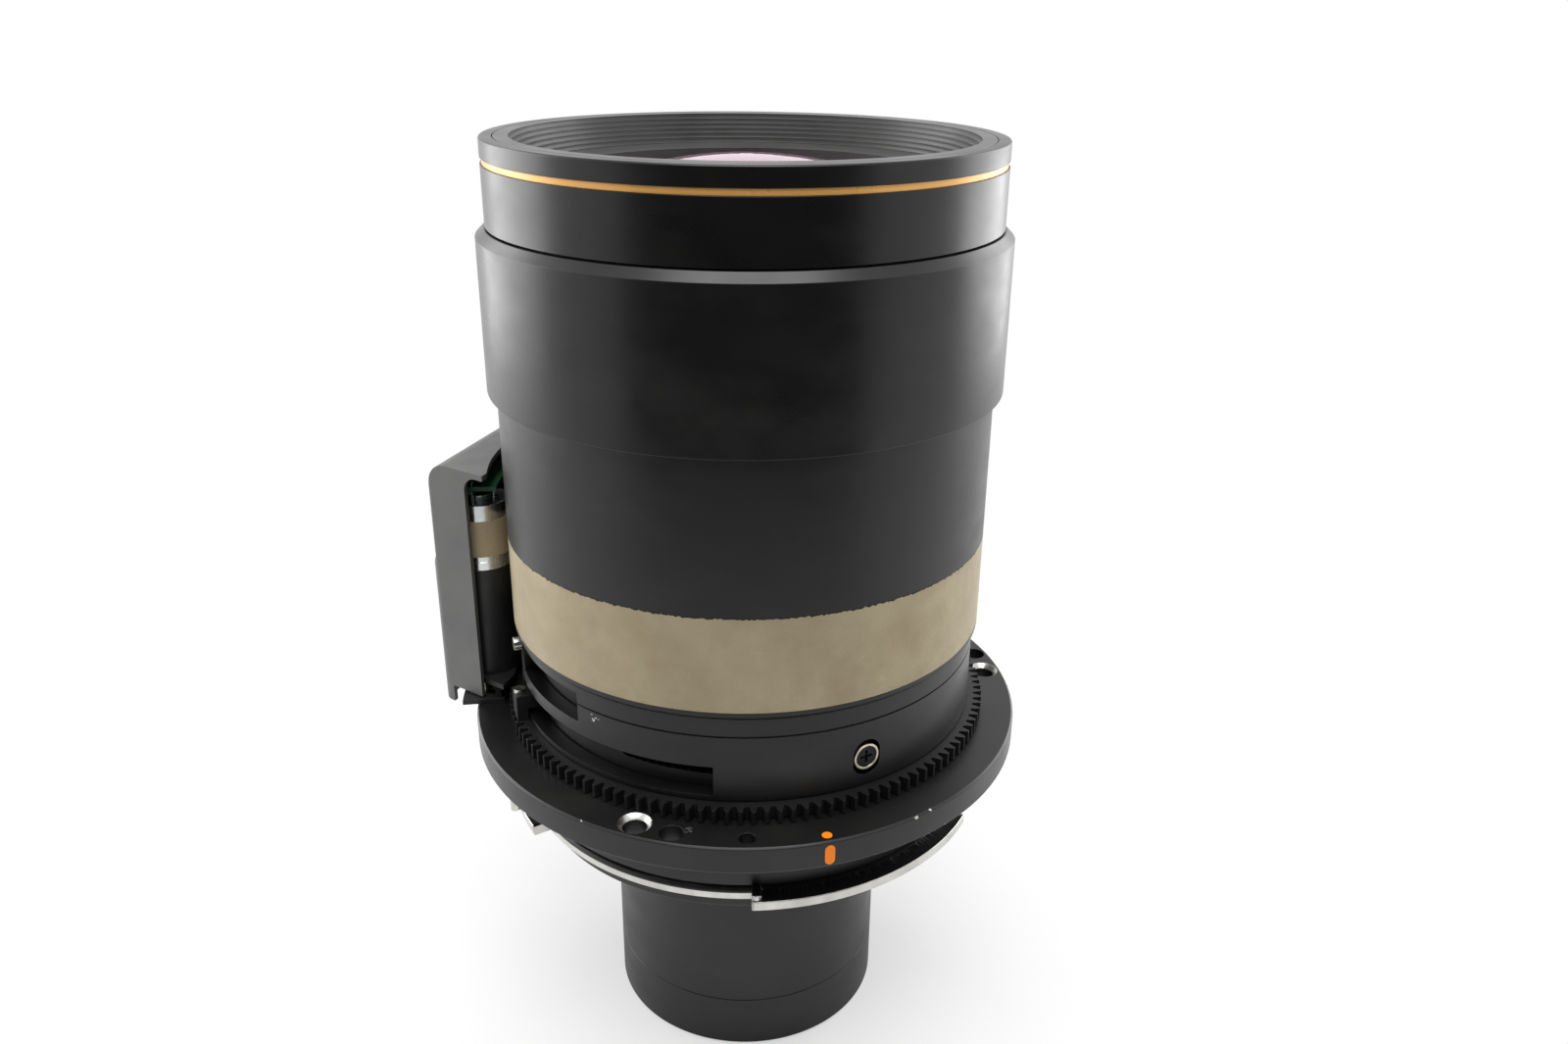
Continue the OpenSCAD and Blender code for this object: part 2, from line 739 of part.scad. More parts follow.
module key_screw() {
    color("#c6c6c2")
        at(key_az, fixed_r + barrel_gap + key_arm_t / 2, gear_z) {
            cylinder(r = key_screw_r, h = key_finger_z[1] - gear_z, $fn = 32);
            translate([0, 0, key_finger_z[1] - gear_z])
                cylinder(r = key_arm_t / 2, h = key_screw_head_h, $fn = 32);
        }
}

module cam_barrel() {
    color("#8d8f92")
        difference() {
            tube(cam_r, cam_bore_r, cam_z, cam_top);
            for (az = roller_azimuths)
                climbing_slot(az, roller_z, zoom_turn, compensator_travel, roller_r + slot_gap,
                    cam_bore_r - cut, cam_r + cut);
            for (az = follower_azimuths)
                climbing_slot(az, follower_z, zoom_turn, variator_travel, follower_r + slot_gap,
                    cam_bore_r - cut, cam_r + cut);
            at(key_az, cam_bore_r - cut, key_finger_z[0] - key_hole_gap)
                translate([0, -key_w / 2 - key_hole_gap, 0])
                    cube([cam_wall + 2 * cut, key_w + 2 * key_hole_gap,
                        key_finger_z[1] - key_finger_z[0] + 2 * key_hole_gap]);
        }
}

// Compensator group
compensator_roller_h = 6.8;
compensator_z = roller_z - compensator_roller_h;
compensator_h = 13.5;
compensator_glass_r = 41;
compensator_seat_h = 3;
compensator_edge_z = compensator_z + compensator_seat_h;
compensator_edge_h = 6;
cell_shelf = 2;

module rod_holes(low, high) {
    for (az = rod_azimuths)
        at(az, rod_circle_r, low - cut) cylinder(r = rod_hole_r, h = high - low + 2 * cut, $fn = 32);
}

module compensator_cell() {
    high = compensator_z + compensator_h;
    color("#47484a")
        difference() {
            turned([
                [compensator_glass_r - cell_shelf, compensator_z], [cell_r, compensator_z], [cell_r, high],
                [compensator_glass_r + thread_gap, high], [compensator_glass_r + thread_gap, compensator_edge_z],
                [compensator_glass_r - cell_shelf, compensator_edge_z]
            ]);
            rod_holes(compensator_z, high);
            for (az = roller_azimuths)
                radial_pin(az, rod_circle_r, cell_r + cut, roller_screw_r + screw_gap, roller_z);
        }
}

module compensator_element() {
    compensator_curve = 120;
    color("#c4d3d6")
        turned(glass_outline(compensator_glass_r,
            compensator_edge_z + compensator_edge_h + sag(compensator_glass_r, compensator_curve),
            compensator_curve, compensator_edge_z, 0));
}

module zoom_rollers() {
    roller_low = cell_r + screw_gap;
    roller_high = fixed_r - side_gap / 3;
    color("#b8963e")
        for (az = roller_azimuths)
            difference() {
                radial_pin(az, roller_low, roller_high, roller_r, roller_z);
                radial_pin(az, roller_low - cut, roller_high + cut, roller_screw_r + screw_gap, roller_z);
                radial_pin(az, roller_high - roller_screw_head_h, roller_high + cut,
                    roller_screw_head_r + screw_gap, roller_z);
            }
}

roller_screw_head_r = 2.75;
roller_screw_head_h = 1.6;
cross_w = 0.7;
cross_l = 3.4;
cross_d = 0.8;

module roller_screws() {
    high = fixed_r - side_gap;
    color("#161617")
        for (az = roller_azimuths)
            difference() {
                union() {
                    radial_pin(az, rod_circle_r, high, roller_screw_r, roller_z);
                    radial_pin(az, high - roller_screw_head_h + side_gap, high, roller_screw_head_r, roller_z);
                }
                for (turn = [0, 90])
                    at(az, high - cross_d, roller_z)
                        rotate([turn, 0, 0]) translate([0, -cross_l / 2, -cross_w / 2])
                            cube([cross_d + cut, cross_l, cross_w]);
            }
}

// Variator group
variator_roller_h = 5.8;
variator_z = follower_z - variator_roller_h;
variator_h = 11.8;
variator_glass_r = 37;
variator_web_h = 2;
variator_ring_h = 1.4;

module variator_cell() {
    high = variator_z + variator_h;
    web_z = variator_z + (variator_h - variator_web_h) / 2;
    color("#47484a")
        difference() {
            turned([
                [variator_glass_r + thread_gap, variator_z], [cell_r, variator_z], [cell_r, high],
                [variator_glass_r + thread_gap, high], [variator_glass_r + thread_gap, web_z + variator_web_h],
                [variator_glass_r - cell_shelf, web_z + variator_web_h],
                [variator_glass_r - cell_shelf, web_z], [variator_glass_r + thread_gap, web_z]
            ]);
            rod_holes(variator_z, high);
            for (az = follower_azimuths)
                radial_pin(az, rod_circle_r, cell_r + cut, follower_r / 2 + screw_gap, follower_z);
        }
}

module variator_front_element() {
    web_top = variator_z + (variator_h + variator_web_h) / 2;
    curve = 300;
    color("#c4d3d6")
        turned(glass_outline(variator_glass_r,
            variator_z + variator_h - variator_ring_h + sag(variator_glass_r, -curve), -curve,
            web_top, 0));
}

module variator_rear_element() {
    web_z = variator_z + (variator_h - variator_web_h) / 2;
    curve = 220;
    color("#c4d3d6")
        turned(glass_outline(variator_glass_r, web_z, 0,
            variator_z - sag(variator_glass_r, -curve), -curve));
}

module variator_ring() {
    high = variator_z + variator_h;
    color("#1f1f20")
        tube(variator_glass_r, variator_glass_r - cell_shelf, high - variator_ring_h, high);
}

module variator_rollers() {
    color("#b8963e")
        for (az = follower_azimuths) {
            radial_pin(az, rod_circle_r, cell_r + screw_gap, follower_r / 2, follower_z);
            radial_pin(az, cell_r + screw_gap, cam_r - side_gap, follower_r, follower_z);
        }
}

// Focus ring
focus_gear_root_r = focus_pitch_r - focus_dedendum;
focus_gear_tip_r = focus_pitch_r + focus_addendum;
focus_backlash = 0.14;
focus_tooth_thick = focus_module * PI / 2 - focus_backlash;
// Depth by which the teeth's roots reach into the ring
focus_root_depth = 0.25;

module focus_ring() {
    color("#7f8184")
        difference() {
            union() {
                tube(focus_gear_root_r - focus_root_depth, focus_ring_bore_r, focus_ring_z, focus_ring_top);
                translate([0, 0, focus_gear_z])
                    gear(focus_teeth, focus_pitch_r, focus_gear_root_r, focus_gear_tip_r, focus_gear_h,
                        focus_tooth_thick);
            }
            translate([0, 0, focus_ring_z - cut])
                cylinder(r = focus_ring_bore_r, h = focus_ring_top - focus_ring_z + 2 * cut);
            for (az = focus_follower_azimuths)
                climbing_slot(az + focus_turn, focus_follower_z - focus_travel, 2 * focus_turn, 2 * focus_travel,
                    focus_follower_r + slot_gap, focus_ring_bore_r - cut, focus_ring_r + cut);
        }
}

// Front group
shoulder_room = 2;
front_shoulder_z = focus_ring_top + focus_travel + shoulder_room;
second_rise = 13.25;
second_z = sleeve_z + second_rise;
second_edge_h = 12;

module front_cell() {
    color("#303133")
        difference() {
            turned([
                [front_tube_bore_r, front_tube_z], [front_tube_r, front_tube_z], [front_tube_r, front_shoulder_z],
                [cell_wall_r, front_shoulder_z + cell_wall_r - front_tube_r], [cell_wall_r, name_z],
                [cell_flange_r, name_z], [cell_flange_r, name_z + cell_flange_h],
                [cell_wall_r, name_z + cell_flange_h], [cell_wall_r, cell_top], [cell_bore_r, cell_top],
                [cell_bore_r, front_seat_z], [front_tube_bore_r - cell_shelf, front_seat_z],
                [front_tube_bore_r - cell_shelf, second_z + second_edge_h],
                [front_tube_bore_r, second_z + second_edge_h]
            ]);
            for (az = focus_follower_azimuths)
                radial_pin(az, front_tube_bore_r - cut, front_tube_r + cut, focus_follower_r / 2 + screw_gap,
                    focus_follower_z);
        }
}

module focus_rollers() {
    color("#b8963e")
        for (az = focus_follower_azimuths) {
            radial_pin(az, front_tube_bore_r + side_gap, front_tube_r + screw_gap, focus_follower_r / 2,
                focus_follower_z);
            radial_pin(az, front_tube_r + screw_gap, focus_gear_root_r - 2 * side_gap, focus_follower_r,
                focus_follower_z);
        }
}

module second_element() {
    second_curve = 130;
    edge_r = front_tube_bore_r - thread_gap;
    color("#c4d3d6")
        turned(glass_outline(edge_r, second_z + second_edge_h, 0,
            second_z - sag(edge_r, second_curve), second_curve));
}

// Height of the front glass surface at radius x
function dome_z(x) = apex_z - sag(x, dome_r);
front_edge_h = 7;
front_seat_z = dome_z(front_glass_r) - front_edge_h;
front_back_curve = 260;

module front_element() {
    color("#b6c6cc")
        turned(glass_outline(front_glass_r, apex_z, dome_r,
            front_seat_z + sag(front_glass_r, front_back_curve), -front_back_curve));
}

retaining_drop = 7.5;
retaining_slope_h = 0.8;
module front_retaining_ring() {
    ring_outer_z = top_z - retaining_drop;
    ring_inner_z = ring_outer_z - retaining_slope_h;
    low = dome_z(sight_r) + thread_gap;
    color("#242425")
        turned([
            [sight_r, low], [cell_bore_r - thread_gap, low],
            [cell_bore_r - thread_gap, cell_top - thread_gap], [baffle_low_r - thread_gap, cell_top - thread_gap],
            [baffle_low_r - thread_gap, ring_outer_z], [sight_r, ring_inner_z]
        ]);
}

sleeve_chamfer = 2.1;
module outer_barrel() {
    color("#2c2c2d")
        turned([
            [sleeve_bore_r, sleeve_z], [sleeve_r, sleeve_z], [sleeve_r, name_z - sleeve_chamfer],
            [sleeve_r - sleeve_chamfer, name_z], [sleeve_rim_bore_r, name_z],
            [sleeve_rim_bore_r, name_z - sleeve_rim_h], [sleeve_bore_r, name_z - sleeve_rim_h]
        ]);
}

module guide_keys() {
    color("#9a8b5a")
        for (az = guide_key_azimuths)
            at(az, mid_bore_r + side_gap, guide_key_slot_z + focus_travel + guide_key_room)
                translate([0, -guide_key_w / 2, 0])
                    cube([sleeve_bore_r - mid_bore_r - 2 * side_gap, guide_key_w, guide_key_h]);
}

band_wall = 1.3;
lip_h = 1.7;
module name_band() {
    lip_z = name_z + cell_flange_h;
    color("#232324")
        turned([
            [front_r - band_wall, name_z + name_gap], [front_r, name_z + name_gap], [front_r, gold_z],
            [front_r - band_wall, gold_z], [front_r - band_wall, lip_z + lip_h],
            [cell_wall_r + thread_gap, lip_z + lip_h], [cell_wall_r + thread_gap, lip_z],
            [front_r - band_wall, lip_z]
        ]);
}

gold_inset = 0.4;
baffle_outer_r = 59.7;
module gold_ring() {
    color("#d9c089")
        tube(front_r - gold_inset, cell_wall_r + side_gap, gold_z, rim_z);
}

baffle_lip = 0.7;
baffle_low_r = cell_bore_r - baffle_lip;
baffle_floor_h = 0.9;
rim_chamfer = 0.5;
module front_ring() {
    color("#262627")
        turned([
            [baffle_outer_r + 2 * thread_gap, rim_z], [front_r, rim_z], [front_r, top_z - rim_chamfer],
            [front_r - rim_chamfer, top_z], [baffle_outer_r + 2 * thread_gap, top_z]
        ]);
}

module baffle_ring() {
    step_in = (hood_r - baffle_low_r) / baffle_steps;
    step_down = (top_z - cell_top - baffle_floor_h) / baffle_steps;
    color("#1d1d1e")
        turned(concat(
            [[cell_wall_r, cell_top], [cell_wall_r, rim_z], [baffle_outer_r, rim_z], [baffle_outer_r, top_z]],
            [for (i = [0:baffle_steps - 1]) each [
                [hood_r - i * step_in, top_z - i * step_down],
                [hood_r - i * step_in, top_z - (i + 1) * step_down]
            ]],
            [[baffle_low_r, top_z - baffle_steps * step_down], [baffle_low_r, cell_top]]
        ));
}

// Motor unit
bracket_plate_r = [67.6, 79];
pinion_room_r = 9;

module drive_bracket() {
    arm_r = cover_inner_u(arm_z) - 2 * side_gap;
    color("#3d3e40")
        difference() {
            union() {
                sector(bracket_plate_r, bracket_az, [flange_top, flange_top + bracket_t]);
                for (web = webs)
                    sector([web_inner_r, web[1]], [web[0], web[0] + web_angle],
                        [flange_top + bracket_t / 2, shelf_z + shelf_t / 2]);
                sector(spine_r, spine_az, [shelf_z + shelf_t / 2, arm_top - arm_t / 2]);
                intersection() {
                    union() {
                        sector([spine_mid_r, bracket_plate_r[1]], shelf_az, [shelf_z, gearbox_z]);
                        sector([spine_mid_r, arm_r], arm_az, [arm_z, arm_top]);
                    }
                    rotate([0, 0, cover_az]) cover_plan(cover_wall + 2 * side_gap, 0, cover_low_z, cover_top_z);
                }
                at(idler_az, idler_circle_r, arm_z)
                    cylinder(r = idler_post_r, h = arm_t + focus_gear_h + 2 * side_gap, $fn = 32);
                for (z = cover_screw_z)
                    radial_pin(cover_az, spine_mid_r, cover_inner_u(z) - thread_gap, post_r, z);
            }
            at(zoom_motor_az, motor_circle_r, flange_top - cut)
                cylinder(r = pinion_room_r, h = bracket_t + 2 * cut);
            at(zoom_motor_az, motor_circle_r, shelf_z - cut)
                cylinder(r = output_shaft_r + screw_gap, h = shelf_t + 2 * cut, $fn = 32);
            at(focus_motor_az, motor_circle_r, arm_z - cut)
                cylinder(r = output_shaft_r + screw_gap, h = arm_t + 2 * cut, $fn = 32);
            for (az = bracket_screw_az)
                at(az, bracket_screw_circle_r, flange_top - cut) {
                    cylinder(r = bracket_screw_r + screw_gap, h = bracket_t + 2 * cut, $fn = 32);
                    translate([0, 0, shelf_z - flange_top])
                        cylinder(r = 2 * bracket_screw_r + screw_gap, h = shelf_t + 2 * cut, $fn = 32);
                }
            for (z = cover_screw_z)
                at(cover_az, cover_inner_u(z) - cover_screw_grip, z) rotate([0, 90, 0])
                    cylinder(r = cover_screw_r + screw_gap, h = cover_screw_grip + cut, $fn = 32);
        }
}

bracket_screw_head_h = 1.5;
module bracket_screws() {
    color("#b5b6b2")
        for (az = bracket_screw_az)
            at(az, bracket_screw_circle_r, flange_top - bracket_screw_grip) {
                cylinder(r = bracket_screw_r, h = bracket_screw_grip + bracket_t, $fn = 32);
                translate([0, 0, bracket_screw_grip + bracket_t])
                    cylinder(r = 2 * bracket_screw_r, h = bracket_screw_head_h, $fn = 32);
            }
}

// Gear motor of two pieces on a common axis, with the output end at low
can_step = 0.25;
label_t = 0.12;
// Length of an output shaft inside its gearbox
shaft_reach = 7;
module gearbox(low, high) {
    depth = shaft_reach + cut;
    difference() {
        translate([0, 0, min(low, high)]) cylinder(r = motor_r, h = abs(high - low), $fn = 64);
        translate([0, 0, low < high ? low - cut : low - depth])
            cylinder(r = output_shaft_r + shaft_gap, h = depth + cut, $fn = 32);
    }
}

collar_h = 2.3;
hub_cap_h = 1.6;
terminal_t = 0.6;
terminal_w = 1.6;
// From the motor's axis to the middle of each terminal
terminal_offset = 5.6;
module motor_can(low, high) {
    translate([0, 0, low]) cylinder(r = motor_r, h = collar_h, $fn = 64);
    translate([0, 0, low]) cylinder(r = motor_r - can_step, h = high - low, $fn = 64);
    translate([0, 0, high]) cylinder(r = motor_r / 2, h = hub_cap_h, $fn = 32);
}

module zoom_gearbox() {
    color("#1b1b1c") at(zoom_motor_az, motor_circle_r) gearbox(gearbox_z, gearbox_top);
}

module zoom_motor() {
    color("#a9adb0") at(zoom_motor_az, motor_circle_r) {
        motor_can(gearbox_top, can_top);
        for (side = [-1, 1])
            translate([0, side * terminal_offset - terminal_w / 2, can_top - cut])
                cube([terminal_t, terminal_w, board_z + board_t - can_top + 2 * cut]);
    }
}

module zoom_motor_label() {
    color("#b3a283") at(zoom_motor_az, motor_circle_r)
        tube(motor_r - can_step + label_t, motor_r - can_step, label_z[0], label_z[1]);
}

module zoom_pinion() {
    color("#c9b26a")
        at(zoom_motor_az, motor_circle_r, gear_z) {
            rotate([0, 0, mesh_turn(zoom_motor_az, 0, zoom_teeth, zoom_pinion_teeth) - zoom_motor_az])
                gear(zoom_pinion_teeth, zoom_pinion_pitch_r,
                    zoom_pinion_pitch_r - dedendum_share * zoom_module,
                    zoom_pinion_pitch_r + pinion_addendum_share * zoom_module, zoom_gear_h, zoom_tooth_thick);
            cylinder(r = output_shaft_r, h = gearbox_z - gear_z + shaft_reach, $fn = 32);
        }
}

module focus_gearbox() {
    color("#1b1b1c") at(focus_motor_az, motor_circle_r) gearbox(arm_z - thread_gap, focus_can_top);
}

module focus_motor() {
    color("#a9adb0") at(focus_motor_az, motor_circle_r) {
        translate([0, 0, gearbox_z]) cylinder(r = motor_r - can_step, h = focus_can_top - gearbox_z, $fn = 64);
        translate([0, 0, focus_can_top - collar_h]) cylinder(r = motor_r, h = collar_h, $fn = 64);
    }
}

module focus_motor_label() {
    color("#b3a283") at(focus_motor_az, motor_circle_r)
        tube(motor_r - can_step + label_t, motor_r - can_step, focus_label_z[0], focus_label_z[1]);
}

module focus_idler() {
    color("#c9b26a")
        difference() {
            at(idler_az, idler_circle_r, focus_gear_z)
                rotate([0, 0, idler_turn - idler_az])
                    gear(idler_teeth, idler_pitch_r, idler_pitch_r - focus_dedendum,
                        idler_pitch_r + focus_addendum, focus_gear_h, focus_tooth_thick);
            at(idler_az, idler_circle_r, focus_gear_z - cut)
                cylinder(r = idler_post_r + shaft_gap, h = focus_gear_h + 2 * cut, $fn = 32);
        }
}

idler_turn = mesh_turn(idler_az, 0, focus_teeth, idler_teeth);
// Direction from the idler's axis to the focus pinion's axis
pinion_offset = polar(motor_circle_r, focus_motor_az) - polar(idler_circle_r, idler_az);
pinion_direction = atan2(pinion_offset[1], pinion_offset[0]);

module focus_pinion() {
    color("#c9b26a")
        at(focus_motor_az, motor_circle_r, focus_gear_z) {
            rotate([0, 0, mesh_turn(pinion_direction, idler_turn, idler_teeth, focus_pinion_teeth)
                - focus_motor_az])
                gear(focus_pinion_teeth, focus_pinion_pitch_r, focus_pinion_pitch_r - focus_dedendum,
                    focus_pinion_pitch_r + focus_addendum, focus_gear_h, focus_tooth_thick);
            translate([0, 0, -side_gap - arm_t - shaft_reach])
                cylinder(r = output_shaft_r, h = focus_gear_h + side_gap + arm_t + shaft_reach, $fn = 32);
        }
}

board_rise = 4;
board_z = can_top + board_rise;
board_t = 1.2;
board_gap = 0.4;
board_depth = 9;
board_r = [spine_r[1] + board_gap, spine_r[1] + board_gap + board_depth];
board_az = [166, 182.5];
module terminal_board() {
    color("#2f5a3a")
        difference() {
            sector(board_r, board_az, [board_z, board_z + board_t]);
            at(zoom_motor_az, motor_circle_r, board_z - cut)
                for (side = [-1, 1])
                    translate([-screw_gap, side * terminal_offset - terminal_w / 2 - screw_gap, 0])
                        cube([terminal_t + 2 * screw_gap, terminal_w + 2 * screw_gap, board_t + 2 * cut]);
        }
}

// Cover
cover_foot_rise = 4;
cover_low_z = flange_z + cover_foot_rise;
cover_front_rise = 1.8;
cover_front_z = flange_top + cover_front_rise;
cover_foot_room = 2.5;
cover_top_z = flange_top + cover_top;
cover_step_rises = [36.45, 41.15];
cover_step_z = lifted(flange_top, cover_step_rises);
cover_side_u = 66.5;
cover_side_v = 31.2;
cover_side_slope = 0.296;
cover_inner_u0 = 60;
cover_edge_r = 4;
cover_bend_r = 1;
cover_shoulder_r = 6.5;
cover_arc_gap = 1.9;
cover_arc_r = sleeve_r + cover_arc_gap;
cover_mouth_lip = 0.7;
cover_mouth_u = cover_arc_r - cover_mouth_lip;
cover_screw_r = 1.25;
cover_screw_head_r = 2.4;
cover_screw_head_h = 0.9;
cover_screw_grip = 5;
cover_screw_rises = [16.75, 48.75];
cover_screw_z = lifted(flange_top, cover_screw_rises);
post_r = 3;
function cover_half(u) = cover_side_v - (u - cover_side_u) * cover_side_slope;
function cover_outer_u(z) = z < cover_step_z[0] ? cover_reach : cover_reach - cover_step;
function cover_inner_u(z) = cover_outer_u(z) - cover_wall;

// Prism over the cover's plan, drawn in by inset on the outer sides
module cover_plan(inset, edge_r, low, high) {
    reach = cover_reach - inset;
    translate([0, 0, low])
        linear_extrude(high - low)
            polygon(rounded([
                [cover_inner_u0, cover_half(cover_inner_u0) - inset], [reach, cover_half(reach) - inset],
                [reach, inset - cover_half(reach)], [cover_inner_u0, inset - cover_half(cover_inner_u0)]
            ], [0, edge_r, edge_r, 0]));
}

// Solid in the form of the cover, drawn in by inset on the outer sides
module cover_form(inset, low) {
    reach = cover_reach - inset;
    high = cover_top_z - inset;
    intersection() {
        cover_plan(inset, cover_edge_r - inset, low, high);
        translate([0, cover_side_v + cover_edge_r, 0])
            rotate([90, 0, 0])
                linear_extrude(2 * (cover_side_v + cover_edge_r))
                    polygon(rounded([
                        [cover_inner_u0, low], [reach, low], [reach, cover_step_z[0]],
                        [reach - cover_step, cover_step_z[1]], [reach - cover_step, high],
                        [cover_inner_u0, high]
                    ], [0, 0, cover_bend_r, cover_bend_r, cover_shoulder_r - inset, 0]));
    }
}

module motor_cover() {
    mouth_top = cover_top_z - cover_wall;
    color("#2d2e30")
        difference() {
            rotate([0, 0, cover_az])
                difference() {
                    cover_form(0, cover_low_z);
                    cover_form(cover_wall, cover_low_z - cut);
                    // Foot of the side walls, cut short above the flange
                    translate([0, -cover_side_v - cover_edge_r, cover_low_z - cut])
                        cube([flange_r + cover_foot_room, 2 * (cover_side_v + cover_edge_r),
                            cover_front_z - cover_low_z + cut]);
                    // Open side towards the barrel, with a rounded top corner
                    translate([0, cover_side_v + cover_edge_r, 0])
                        rotate([90, 0, 0])
                            linear_extrude(2 * (cover_side_v + cover_edge_r))
                                polygon(rounded([
                                    [0, cover_low_z - cut], [cover_mouth_u, cover_low_z - cut],
                                    [cover_mouth_u, mouth_top], [0, mouth_top]
                                ], [0, 0, cover_edge_r, 0]));
                    for (z = cover_screw_z)
                        translate([cover_inner_u(z) - cut, 0, z])
                            rotate([0, 90, 0]) {
                                cylinder(r = cover_screw_r + screw_gap, h = cover_wall + 2 * cut, $fn = 32);
                                translate([0, 0, cut + cover_wall - cover_screw_head_h])
                                    cylinder(r = cover_screw_head_r + screw_gap,
                                        h = cover_screw_head_h + cut, $fn = 32);
                            }
                }
            translate([0, 0, cover_low_z]) cylinder(r = cover_arc_r, h = cover_top_z - cover_low_z + cut);
        }
}

module cover_screws() {
    color("#8a8c8f")
        for (z = cover_screw_z)
            at(cover_az, cover_inner_u(z) - cover_screw_grip, z)
                rotate([0, 90, 0]) {
                    cylinder(r = cover_screw_r, h = cover_screw_grip + cover_wall, $fn = 32);
                    translate([0, 0, cover_screw_grip + cover_wall - cover_screw_head_h])
                        cylinder(r = cover_screw_head_r, h = cover_screw_head_h, $fn = 32);
                }
}

rear_cell();
rear_port_ring();
rear_element();
rear_barrel();
relay_element();
rear_spacer();
seat_ring();
bayonet_plate();
bayonet_screws();
mount_flange();
index_dot();
index_bar();
stop_peg();
fixed_barrel();
barrel_screw();
bare_band();
mid_barrel();
rear_guide_plate();
front_guide_plate();
guide_rods();
zoom_gear_ring();
zoom_key();
key_screw();
cam_barrel();
compensator_cell();
compensator_element();
zoom_rollers();
roller_screws();
variator_cell();
variator_front_element();
variator_rear_element();
variator_ring();
variator_rollers();
focus_ring();
front_cell();
focus_rollers();
second_element();
front_element();
front_retaining_ring();
outer_barrel();
guide_keys();
name_band();
gold_ring();
front_ring();
baffle_ring();
drive_bracket();
bracket_screws();
zoom_gearbox();
zoom_motor();
zoom_motor_label();
zoom_pinion();
focus_gearbox();
focus_motor();
focus_motor_label();
focus_pinion();
focus_idler();
terminal_board();
motor_cover();
cover_screws();
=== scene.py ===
# %% [markdown]
# A motorised zoom lens for a projector, standing on its rear barrel.
# Most of what shows is turned on a lathe: a section that runs once round the optical axis.
# So each barrel and ring here is a short list of corners that bmesh spins round Z. Pieces that
# are milled or cut, such as the flange with its holes, start from a merged copy of the CAD node,
# and the pieces inside keep the CAD's own mesh and only get a finish.

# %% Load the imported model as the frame
import json
import math

import bmesh
import bpy
from mathutils import Matrix, Vector

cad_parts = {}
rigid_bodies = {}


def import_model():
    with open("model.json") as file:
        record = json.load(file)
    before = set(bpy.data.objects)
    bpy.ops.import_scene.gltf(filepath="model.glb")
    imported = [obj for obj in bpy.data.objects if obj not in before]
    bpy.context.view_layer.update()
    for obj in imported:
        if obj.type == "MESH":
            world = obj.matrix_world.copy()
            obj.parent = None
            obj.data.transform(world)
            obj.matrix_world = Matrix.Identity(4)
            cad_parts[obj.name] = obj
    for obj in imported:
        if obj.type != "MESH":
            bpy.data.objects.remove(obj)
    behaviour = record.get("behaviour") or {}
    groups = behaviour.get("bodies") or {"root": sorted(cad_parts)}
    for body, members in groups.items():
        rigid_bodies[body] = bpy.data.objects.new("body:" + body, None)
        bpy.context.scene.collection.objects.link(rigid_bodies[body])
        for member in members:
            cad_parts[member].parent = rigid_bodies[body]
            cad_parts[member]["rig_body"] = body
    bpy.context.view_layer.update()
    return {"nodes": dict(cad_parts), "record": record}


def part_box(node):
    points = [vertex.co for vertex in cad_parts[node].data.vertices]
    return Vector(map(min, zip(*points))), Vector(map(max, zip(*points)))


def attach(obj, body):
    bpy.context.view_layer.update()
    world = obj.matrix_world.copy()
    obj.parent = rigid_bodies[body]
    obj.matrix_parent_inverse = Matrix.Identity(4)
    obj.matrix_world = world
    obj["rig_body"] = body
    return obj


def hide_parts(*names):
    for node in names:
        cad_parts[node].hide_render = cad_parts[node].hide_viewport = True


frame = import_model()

MM = 0.001
scene = bpy.context.scene
slot_of = {part["node"]: part["material_slot"] for part in frame["record"]["subparts"]}
body_of = {name: node["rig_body"] for name, node in frame["nodes"].items()}


def heights(node):
    """Lowest and highest Z of a CAD node, in mm."""
    low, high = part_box(node)
    return low[2] / MM, high[2] / MM


def radii(node):
    """Smallest and largest distance of a CAD node's points from the axis, in mm."""
    spans = [math.hypot(v.co.x, v.co.y) for v in frame["nodes"][node].data.vertices]
    return min(spans) / MM, max(spans) / MM


# %% [markdown]
# The camera stands a little higher than the lens and looks down on it by 22 degrees.
# A short lens close to the object gives the strong narrowing towards the floor.

# %% Camera
CAMERA_PLACE = Vector((-0.43, -317.35, 277.0)) * MM
CAMERA_PITCH = math.radians(22.43)
CAMERA_YAW = math.radians(1.9)
CAMERA_ROLL = math.radians(0.68)
CAMERA_LENS_MM = 29.17


def camera_axes():
    """Right, up and back directions of the camera."""
    ahead = Vector((
        math.sin(CAMERA_YAW) * math.cos(CAMERA_PITCH),
        math.cos(CAMERA_YAW) * math.cos(CAMERA_PITCH),
        -math.sin(CAMERA_PITCH),
    ))
    right = ahead.cross(Vector((0, 0, 1))).normalized()
    up = right.cross(ahead)
    turn = Matrix.Rotation(CAMERA_ROLL, 3, ahead)
    return turn.transposed() @ right, turn.transposed() @ up, -ahead


camera_data = bpy.data.cameras.new("studio_camera")
camera_data.lens = CAMERA_LENS_MM
camera_data.sensor_width = 36
camera = bpy.data.objects.new("studio_camera", camera_data)
scene.collection.objects.link(camera)
camera.matrix_world = Matrix.Translation(CAMERA_PLACE) @ Matrix(camera_axes()).transposed().to_4x4()
camera_data.clip_start = 0.01
scene.camera = camera
print("camera at", [round(v / MM, 1) for v in CAMERA_PLACE])

# %% [markdown]
# The lens stands in a white tent. The world gives even, plain light, and is white where
# the camera, a gloss or a clear glass looks at it. Black metal shows its form only by what it mirrors,
# so two soft boxes stand beside the lens, one hangs above it, and a dark panel stands behind
# the camera, as the unlit room does behind a photographer.

# %% World and lamps
AMBIENT = 0.62


